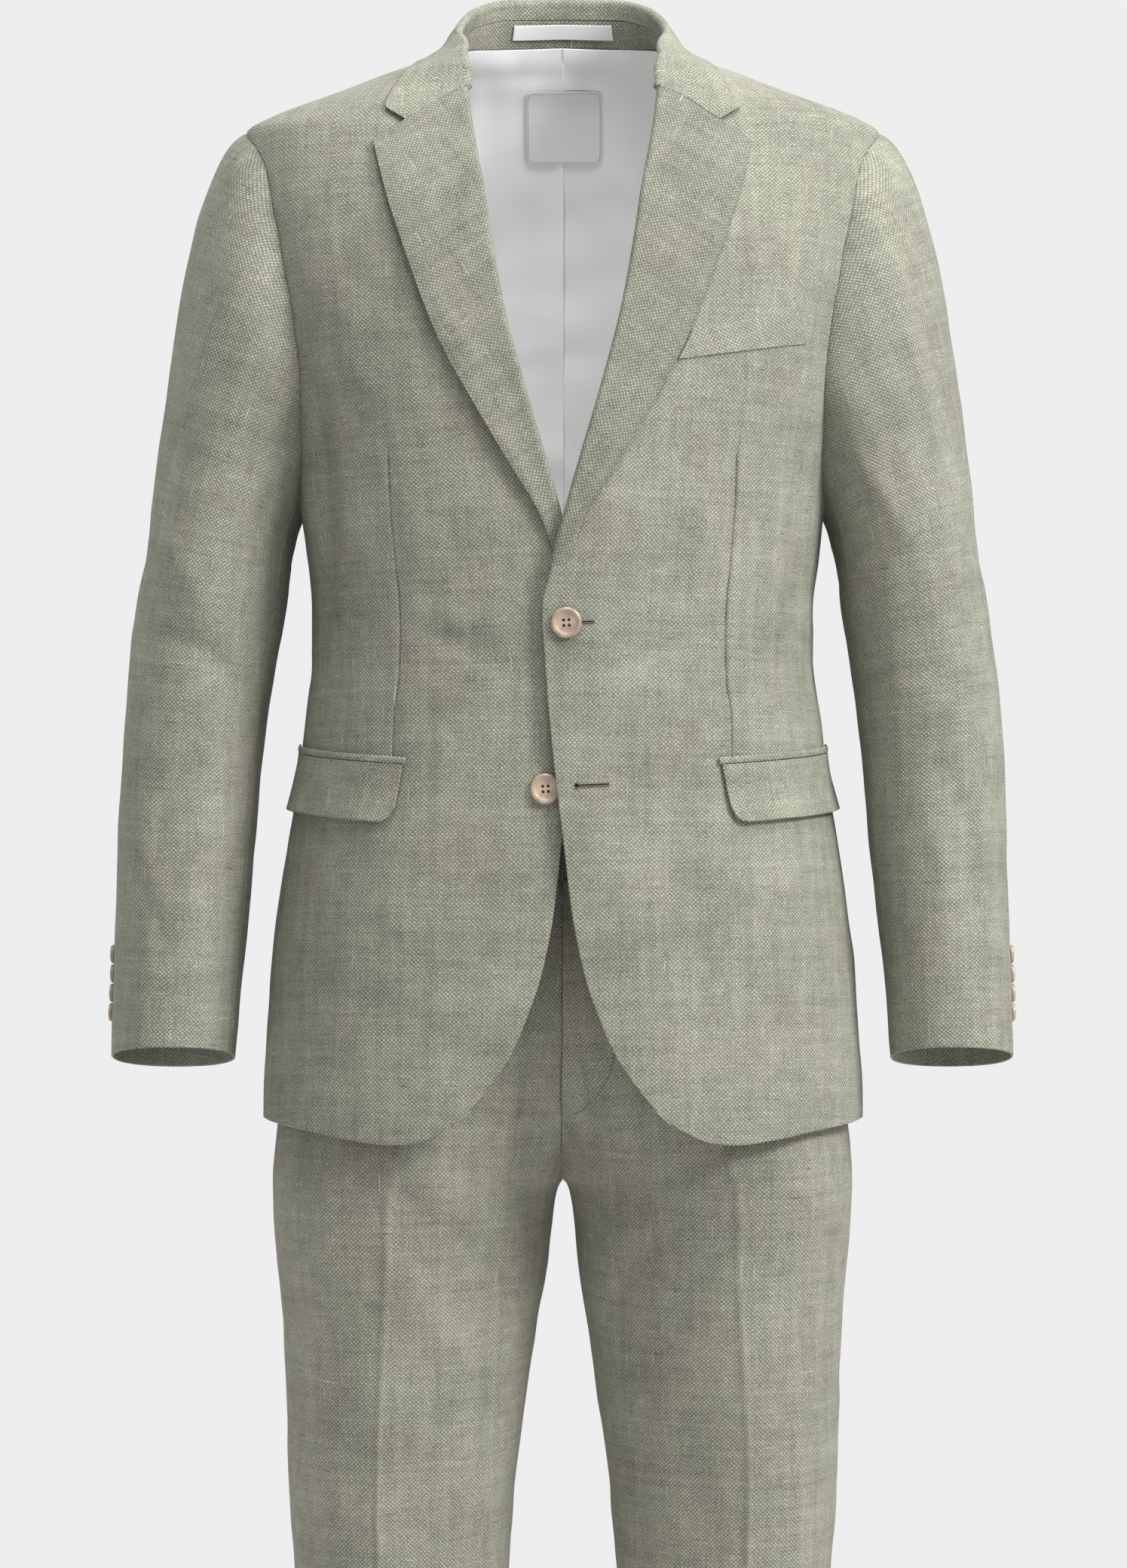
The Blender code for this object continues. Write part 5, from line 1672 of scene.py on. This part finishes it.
def button_mesh(name, across, thick):
    """A turned button with a raised rim and four holes through its sunk middle."""
    r = across / 2
    rim = [
        (0.0, 0.0), (0.80, 0.0), (0.93, 0.05), (0.99, 0.22), (1.0, 0.45), (0.985, 0.68), (0.94, 0.88),
        (0.88, 0.98), (0.82, 1.0), (0.76, 0.96), (0.70, 0.86), (0.64, 0.76), (0.56, 0.70), (0.30, 0.66),
        (0.0, 0.65),
    ]
    sides = 64
    points, faces = [(0.0, 0.0, 0.0)], []
    for radius, height in rim[1:-1]:
        for k in range(sides):
            a = 2 * math.pi * k / sides
            points.append((r * radius * math.cos(a), r * radius * math.sin(a), thick * height))
    points.append((0.0, 0.0, thick * rim[-1][1]))
    rings = len(rim) - 2
    for k in range(sides):
        n = (k + 1) % sides
        faces.append((0, 1 + n, 1 + k))
        for i in range(rings - 1):
            a = 1 + i * sides
            faces.append((a + k, a + n, a + sides + n, a + sides + k))
        a = 1 + (rings - 1) * sides
        faces.append((a + k, a + n, len(points) - 1))
    mesh = bpy.data.meshes.new(name)
    mesh.from_pydata(points, [], faces)
    obj = linked(name, mesh)
    cutters = []
    for x, y in ((1, 1), (1, -1), (-1, 1), (-1, -1)):
        hole = bpy.data.meshes.new(name + "_hole")
        ring = 20
        size = r * 0.10
        centre = (x * r * 0.175, y * r * 0.175)
        turns = [2 * math.pi * k / ring for k in range(ring)]
        corners = [
            (centre[0] + size * math.cos(a), centre[1] + size * math.sin(a), h)
            for h in (-thick, thick * 2)
            for a in turns
        ]
        sides_of = [(k, (k + 1) % ring, ring + (k + 1) % ring, ring + k) for k in range(ring)]
        caps = [tuple(range(ring))[::-1], tuple(range(ring, 2 * ring))]
        hole.from_pydata(corners, [], sides_of + caps)
        cutter = linked(name + "_hole", hole)
        cutters.append(cutter)
        cut = obj.modifiers.new("Hole", "BOOLEAN")
        cut.object = cutter
        cut.operation = "DIFFERENCE"
        cut.solver = "EXACT"
    bpy.context.view_layer.update()
    made = bpy.data.meshes.new_from_object(obj.evaluated_get(bpy.context.evaluated_depsgraph_get()))
    for helper in [obj, *cutters]:
        bpy.data.objects.remove(helper, do_unlink=True)
    made.shade_smooth()
    made.set_sharp_from_angle(angle=math.radians(42))
    made.materials.clear()
    made.materials.append(finish("horn"))
    return made


def place_button(name, mesh, node, here, way, spin=0.0):
    """A button laid on the cloth with its face along the way out of it."""
    obj = linked(name, mesh)
    turn = Vector(way).to_track_quat("Z", "Y").to_matrix().to_4x4()
    obj.matrix_world = Matrix.Translation(Vector(here)) @ turn @ Matrix.Rotation(spin, 4, "Z")
    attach(obj, "root")
    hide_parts(node)


FRONT_BUTTON, FRONT_BUTTON_THICK = 0.0205, 0.0030
CUFF_BUTTON, CUFF_BUTTON_THICK = 0.0126, 0.0029
CUFF_BUTTON_TURN, CUFF_BUTTON_TOP = -9.0, -0.5950
BUTTON_GAP = 0.0004
# The front buttons: name, side of the front they lie on, distance from the centre, height.
FRONT_BUTTONS = (("front_button_top", 1, 0.0024, -0.3743), ("front_button_lower", -1, 0.0113, -0.4843))


def make_front_buttons():
    mesh = button_mesh("front_button", FRONT_BUTTON, FRONT_BUTTON_THICK)
    for name, side, x, z in FRONT_BUTTONS:
        here, way = front_point(side, x, z, BUTTON_GAP)
        place_button(name + "_horn", mesh, name, here, way, spin=0.06)


def make_cuff_buttons():
    """Four touching buttons up the back of each cuff, at the outside."""
    mesh = button_mesh("cuff_button", CUFF_BUTTON, CUFF_BUTTON_THICK)
    for side, word in ((1, "left"), (-1, "right")):
        flip = np.array([side, 1.0, 1.0])
        for number in range(4):
            turn = np.array(CUFF_BUTTON_TURN)
            z = np.array(CUFF_BUTTON_TOP - number * (CUFF_BUTTON + BUTTON_GAP))
            here = sleeve_ring(turn, z)
            round_it = sleeve_ring(turn + 1.0, z) - sleeve_ring(turn - 1.0, z)
            way = np.cross(round_it, sleeve_ring(turn, z - 0.005) - here)
            way = way / np.linalg.norm(way)
            lift = BUTTON_GAP + float(sleeve_relief(turn, z, side))
            name = f"cuff_button_{word}_{number + 1}"
            place_button(name + "_horn", mesh, name, (here + way * lift) * flip, way * flip)


def buttonhole(name, x0, x1, z0, z1, eyelet):
    """A worked slit in the left front: painted shade in its gap, an eyelet at its inner end and close
    stitches round it.
    """
    steps = 26
    share = np.linspace(0, 1, steps)
    middle, way = front_point(1, x0 + (x1 - x0) * share, z0 + (z1 - z0) * share, 0.0)
    along = (middle[-1] - middle[0]) / np.linalg.norm(middle[-1] - middle[0])
    up = np.cross(way, along)
    half = np.full(steps, 0.00030)
    if eyelet:
        far = share * abs(x1 - x0)
        half = half + 0.00105 * np.sqrt(np.clip(1 - ((far - 0.0011) / 0.0012) ** 2, 0, 1))
    lift = 0.00022
    upper = middle + up * half[:, None] + way * lift
    lower = middle - up * half[:, None] + way * lift
    points = np.concatenate([upper, lower])
    faces = [(i, i + 1, steps + i + 1, steps + i) for i in range(steps - 1)]
    # The slit's near-black sheet is painted shade, where the cloth beneath would lie in shadow.
    gap = add_mesh(name + "_slit", points, faces, finish=finish("gap"))
    thick = gap.modifiers.new("Depth", "SOLIDIFY")
    thick.thickness = 0.0002
    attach(gap, "root")
    paths = []
    outline = np.concatenate([upper, lower[::-1]])
    outward = np.concatenate([up, -up[::-1]])
    away = np.concatenate([way, way[::-1]])
    reach = np.concatenate([[0], np.cumsum(np.linalg.norm(np.diff(outline, axis=0), axis=1))])
    for at in np.arange(0.0002, reach[-1], 0.00052):
        here = np.array([np.interp(at, reach, outline[:, k]) for k in range(3)])
        side_way = np.array([np.interp(at, reach, outward[:, k]) for k in range(3)])
        top = np.array([np.interp(at, reach, away[:, k]) for k in range(3)])
        paths.append([
            here + top * 0.00012,
            here + side_way * 0.00030 + top * 0.00026,
            here + side_way * 0.00075 + top * 0.00020,
            here + side_way * 0.00100 - top * 0.00020,
        ])
    # The bar across its outer end.
    for k in np.linspace(-0.0008, 0.0008, 4):
        centre = middle[-1] + along * 0.0004 + up[-1] * k
        low, high = way[-1] * 0.0001, way[-1] * 0.0004
        paths.append([centre - along * 0.0004 + low, centre + high, centre + along * 0.0004 + low])
    add_threads(name + "_stitching", paths, 0.00024, "dark_thread", sides=5)


def make_buttonholes():
    buttonhole("top_buttonhole", 0.0070, 0.0203, -0.3740, -0.3737, eyelet=False)
    buttonhole("lower_buttonhole", 0.0080, 0.0298, -0.4823, -0.4813, eyelet=True)


def make_stitching():
    """The fly's curved line of stitches."""
    rows = range(len(FLY_LINE))
    spaced = refined(list(rows), 0.05)
    x, z = (np.interp(spaced, rows, FLY_LINE[:, k]) for k in (0, 1))
    turn = trouser_turn_at(x, z)
    here = leg(turn, z)
    out = leg_way(turn, z)
    path = here + out * (leg_relief(turn, z, 1) + fly_relief(x, z) + 0.0006)[:, None]
    stitches("fly_stitching", path, out, 0.0026, 0.0019, 0.0006, "dark_thread")


def trouser_turn_at(x, z):
    """The turn on a leg's front that is seen at x."""
    low, high = np.full(x.shape, 90.0), np.full(x.shape, 180.0)
    for _ in range(40):
        mid = (low + high) / 2
        past = leg(mid, z)[..., 0] < x
        high = np.where(past, mid, high)
        low = np.where(past, low, mid)
    return high


def leg_way(turn, z):
    """The way out of a leg's surface."""
    around = leg(turn + 0.5, z) - leg(turn - 0.5, z)
    down = leg(turn, z - 0.002) - leg(turn, z + 0.002)
    way = np.cross(around, down)
    return way / np.linalg.norm(way, axis=-1, keepdims=True)


# The stage.

PHOTO_WIDTH, PHOTO_HEIGHT = 1495, 2080
SCALE = 0.000512
CAMERA_FAR = 4.5
CAMERA_Z = -0.481
CENTRE_PIXEL = 746.5
FLOOR_RADIUS, FLOOR_GAP = 2.6, 0.002
BACKDROP_RADIUS = 30.0
WORLD_GREY = 0.47
# The lights: name, place, target, size, energy in watts.
LIGHTS = (
    ("key", (3.1, -2.0, 2.3), (0.0, 0.0, -0.5), (1.3, 1.3), 280.0),
    ("edge", (-2.8, 0.9, 0.8), (0.0, 0.0, -0.5), (1.2, 1.2), 25.0),
    ("top", (0.2, -1.0, 2.6), (0.0, 0.0, -0.2), (1.4, 1.4), 110.0),
    ("lining", (0.115, -0.035, -0.15), (-0.02, 0.12, -0.03), (0.04, 0.10), 0.10),
    ("lining", (-0.115, -0.035, -0.15), (0.02, 0.12, -0.03), (0.04, 0.10), 0.10),
)


def area_light(name, place, target, size, energy):
    """A soft white rectangular light, turned to its target."""
    light = bpy.data.lights.new(name, "AREA")
    light.shape = "RECTANGLE"
    light.size, light.size_y = size
    light.energy = energy
    obj = linked(name, light)
    obj.location = place
    obj.rotation_euler = (Vector(target) - Vector(place)).to_track_quat("-Z", "Y").to_euler()


def make_floor():
    """The pale round floor, just under the hems."""
    sides = 96
    turn = 2 * math.pi * np.arange(sides) / sides
    ring = FLOOR_RADIUS * np.stack([np.cos(turn), np.sin(turn), 0 * turn], -1)
    points = np.concatenate([np.zeros((1, 3)), ring]) + np.array([0, 0, TROUSER_HEM - FLOOR_GAP])
    faces = [(0, 1 + k, 1 + (k + 1) % sides) for k in range(sides)]
    f = Finish("pale_floor", Specular_IOR_Level=0.1)
    place = f.node("ShaderNodeTexCoord", {}, {}, output=3)
    cloud = f.noise(place, scale=3.0, detail=2.0)
    material = f.done(f.mix(cloud, (0.86, 0.86, 0.86), (0.83, 0.83, 0.83)), 0.85 + cloud * 0.05)
    floor = add_mesh("floor", points, faces, finish=material, smooth_faces=False)


def make_backdrop():
    """The pale studio backdrop, all round and far off. It lights nothing."""
    heights, turns = np.linspace(-math.pi / 2, math.pi / 2, 24), np.linspace(0, 2 * math.pi, 48)
    up, turn = np.meshgrid(heights, turns, indexing="ij")
    grid = BACKDROP_RADIUS * np.stack([np.cos(up) * np.cos(turn), np.cos(up) * np.sin(turn), np.sin(up)], -1)
    rows, columns = grid.shape[:2]
    faces = [
        (r * columns + c, r * columns + c + 1, (r + 1) * columns + c + 1, (r + 1) * columns + c)
        for r in range(rows - 1)
        for c in range(columns - 1)
    ]
    f = Finish("pale_backdrop", Roughness=1.0, Specular_IOR_Level=0.0, Emission_Strength=1.0)
    place = f.node("ShaderNodeTexCoord", {}, {}, output=3)
    paper = f.noise(place, scale=0.4, detail=1.0)
    f.feed(f.shader.inputs["Emission Color"], f.mix(paper, (0.855, 0.855, 0.855), (0.850, 0.850, 0.850)))
    backdrop = add_mesh("backdrop", grid.reshape(-1, 3), faces, finish=f.done((0.0, 0.0, 0.0, 1.0)))
    for ray in ("diffuse", "glossy", "transmission", "volume_scatter", "shadow"):
        setattr(backdrop, "visible_" + ray, False)


def make_stage():
    """The light, the camera of the photograph's framing, the floor and the backdrop."""
    scene = bpy.context.scene
    scene.view_settings.view_transform = "Standard"
    scene.view_settings.look = "None"
    world = bpy.data.worlds.new("studio")
    scene.world = world
    world.use_nodes = True
    back = world.node_tree.nodes["Background"]
    back.inputs["Color"].default_value = (WORLD_GREY, WORLD_GREY, WORLD_GREY, 1.0)
    back.inputs["Strength"].default_value = 1.0
    camera = bpy.data.cameras.new("camera")
    camera.sensor_fit = "AUTO"
    camera.sensor_width = 36.0
    camera.lens = 36.0 * CAMERA_FAR / (PHOTO_HEIGHT * SCALE)
    holder = linked("camera", camera)
    holder.location = ((PHOTO_WIDTH / 2 - CENTRE_PIXEL) * SCALE, -CAMERA_FAR, CAMERA_Z)
    holder.rotation_euler = (math.radians(90), 0.0, 0.0)
    scene.camera = holder
    for light in LIGHTS:
        area_light(*light)
    make_floor()
    make_backdrop()


# The add-on.


class SuitSizes(bpy.types.PropertyGroup):
    """Sizes that a user would change."""

    cloth: bpy.props.FloatProperty(
        name="Cloth",
        description="Thickness of the linen as made up",
        default=0.0015,
        unit="LENGTH",
        precision=4,
    )
    leaf: bpy.props.FloatProperty(
        name="Leaf",
        description="Thickness of the collar and lapels",
        default=0.0012,
        unit="LENGTH",
        precision=4,
    )
    lining: bpy.props.FloatProperty(
        name="Lining", description="Thickness of the satin", default=0.0007, unit="LENGTH", precision=4
    )
    seam: bpy.props.FloatProperty(
        name="Seam",
        description="Half of the gap that shows as a seam",
        default=0.0001,
        unit="LENGTH",
        precision=5,
    )
    weave_across: bpy.props.FloatProperty(
        name="Weave across",
        description="From dot to dot across the cloth",
        default=0.0029,
        unit="LENGTH",
        precision=4,
    )
    weave_up: bpy.props.FloatProperty(
        name="Weave up",
        description="From dot to dot up the cloth",
        default=0.0028,
        unit="LENGTH",
        precision=4,
    )
    grid_step: bpy.props.FloatProperty(
        name="Grid step",
        description="From row to row of the shells",
        default=0.0045,
        unit="LENGTH",
        precision=4,
    )
    rumple: bpy.props.FloatProperty(
        name="Rumple", description="Depth of all creases, 1 as worn", default=1.0, min=0.0, max=1.5
    )


class SuitColours(bpy.types.PropertyGroup):
    """Colours that a user would change."""

    ground: bpy.props.FloatVectorProperty(
        name="Ground",
        description="The weave's grey-green ground",
        subtype="COLOR",
        default=(0.186, 0.189, 0.1465),
    )
    warm_ground: bpy.props.FloatVectorProperty(
        name="Warm ground",
        description="The taupe patches of the ground",
        subtype="COLOR",
        default=(0.212, 0.192, 0.156),
    )
    dots: bpy.props.FloatVectorProperty(
        name="Dots", description="The weave's pale dots", subtype="COLOR", default=(0.392, 0.397, 0.322)
    )
    satin: bpy.props.FloatVectorProperty(
        name="Satin", description="The white lining", subtype="COLOR", default=(0.70, 0.70, 0.705)
    )
    label: bpy.props.FloatVectorProperty(
        name="Label", description="The bare patch", subtype="COLOR", default=(0.64, 0.64, 0.65)
    )
    button: bpy.props.FloatVectorProperty(
        name="Button", description="The corozo buttons", subtype="COLOR", default=(0.375, 0.285, 0.215)
    )
    dark_thread: bpy.props.FloatVectorProperty(
        name="Moss thread",
        description="Thread of the buttonholes and the fly",
        subtype="COLOR",
        default=(0.16, 0.14, 0.10),
    )


class PieceOperator:
    """What the operators that make pieces share."""

    bl_options = {"REGISTER"}
    makers = ()

    def execute(self, context):
        for make in self.makers:
            make()
        return {"FINISHED"}


class SUIT_OT_jacket_fronts(PieceOperator, bpy.types.Operator):
    """Make the two front panels of the jacket, with their darts"""

    bl_idname = "suit.jacket_fronts"
    bl_label = "Jacket fronts"
    makers = (make_fronts,)


class SUIT_OT_jacket_back(PieceOperator, bpy.types.Operator):
    """Make the side panels and the two halves of the back"""

    bl_idname = "suit.jacket_back"
    bl_label = "Jacket sides and back"
    makers = (make_sides_and_back,)


class SUIT_OT_lining(PieceOperator, bpy.types.Operator):
    """Make the satin lining of the back and the patch on it"""

    bl_idname = "suit.lining"
    bl_label = "Lining and patch"
    makers = (make_back_lining, make_label_patch)


class SUIT_OT_sleeves(PieceOperator, bpy.types.Operator):
    """Make the top and under sleeves"""

    bl_idname = "suit.sleeves"
    bl_label = "Sleeves"
    makers = (make_sleeves,)


class SUIT_OT_collar(PieceOperator, bpy.types.Operator):
    """Make the lapels, the collar, its stand and the band where the jacket hangs"""

    bl_idname = "suit.collar"
    bl_label = "Lapels and collar"
    makers = (make_lapels, make_collar, make_collar_stand, make_hanger_band)


class SUIT_OT_pockets(PieceOperator, bpy.types.Operator):
    """Make the hip pockets and the chest welt"""

    bl_idname = "suit.pockets"
    bl_label = "Pockets"
    makers = (make_hip_pockets, make_breast_welt)


class SUIT_OT_trousers(PieceOperator, bpy.types.Operator):
    """Make the trouser panels and the waistband"""

    bl_idname = "suit.trousers"
    bl_label = "Trousers"
    makers = (make_trousers,)


class SUIT_OT_buttons(PieceOperator, bpy.types.Operator):
    """Make the front buttons and the cuff buttons"""

    bl_idname = "suit.buttons"
    bl_label = "Buttons"
    makers = (make_front_buttons, make_cuff_buttons)


class SUIT_OT_sewing(PieceOperator, bpy.types.Operator):
    """Make the buttonholes and the stitching that shows"""

    bl_idname = "suit.sewing"
    bl_label = "Buttonholes and stitching"
    makers = (make_buttonholes, make_stitching)


class SUIT_OT_stage(PieceOperator, bpy.types.Operator):
    """Set the floor, the light and the camera"""

    bl_idname = "suit.stage"
    bl_label = "Stage"
    makers = (make_stage,)


OPERATORS = (
    SUIT_OT_jacket_fronts,
    SUIT_OT_jacket_back,
    SUIT_OT_lining,
    SUIT_OT_sleeves,
    SUIT_OT_collar,
    SUIT_OT_pockets,
    SUIT_OT_trousers,
    SUIT_OT_buttons,
    SUIT_OT_sewing,
    SUIT_OT_stage,
)


class SUIT_PT_panel(bpy.types.Panel):
    """The suit's sizes, colours and pieces"""

    bl_idname = "SUIT_PT_panel"
    bl_label = "Linen suit"
    bl_space_type = "VIEW_3D"
    bl_region_type = "UI"
    bl_category = "Suit"

    def draw(self, context):
        for group in (context.scene.suit_sizes, context.scene.suit_colours):
            box = self.layout.box()
            for name in group.__annotations__:
                box.prop(group, name)
        for operator in OPERATORS:
            self.layout.operator(operator.bl_idname)


CLASSES = (SuitSizes, SuitColours, *OPERATORS, SUIT_PT_panel)


def register():
    for one in CLASSES:
        bpy.utils.register_class(one)
    bpy.types.Scene.suit_sizes = bpy.props.PointerProperty(type=SuitSizes)
    bpy.types.Scene.suit_colours = bpy.props.PointerProperty(type=SuitColours)


def unregister():
    del bpy.types.Scene.suit_sizes
    del bpy.types.Scene.suit_colours
    for one in reversed(CLASSES):
        bpy.utils.unregister_class(one)


def main():
    register()
    for operator in OPERATORS:
        group, name = operator.bl_idname.split(".")
        getattr(getattr(bpy.ops, group), name)()


if __name__ == "__main__":
    main()
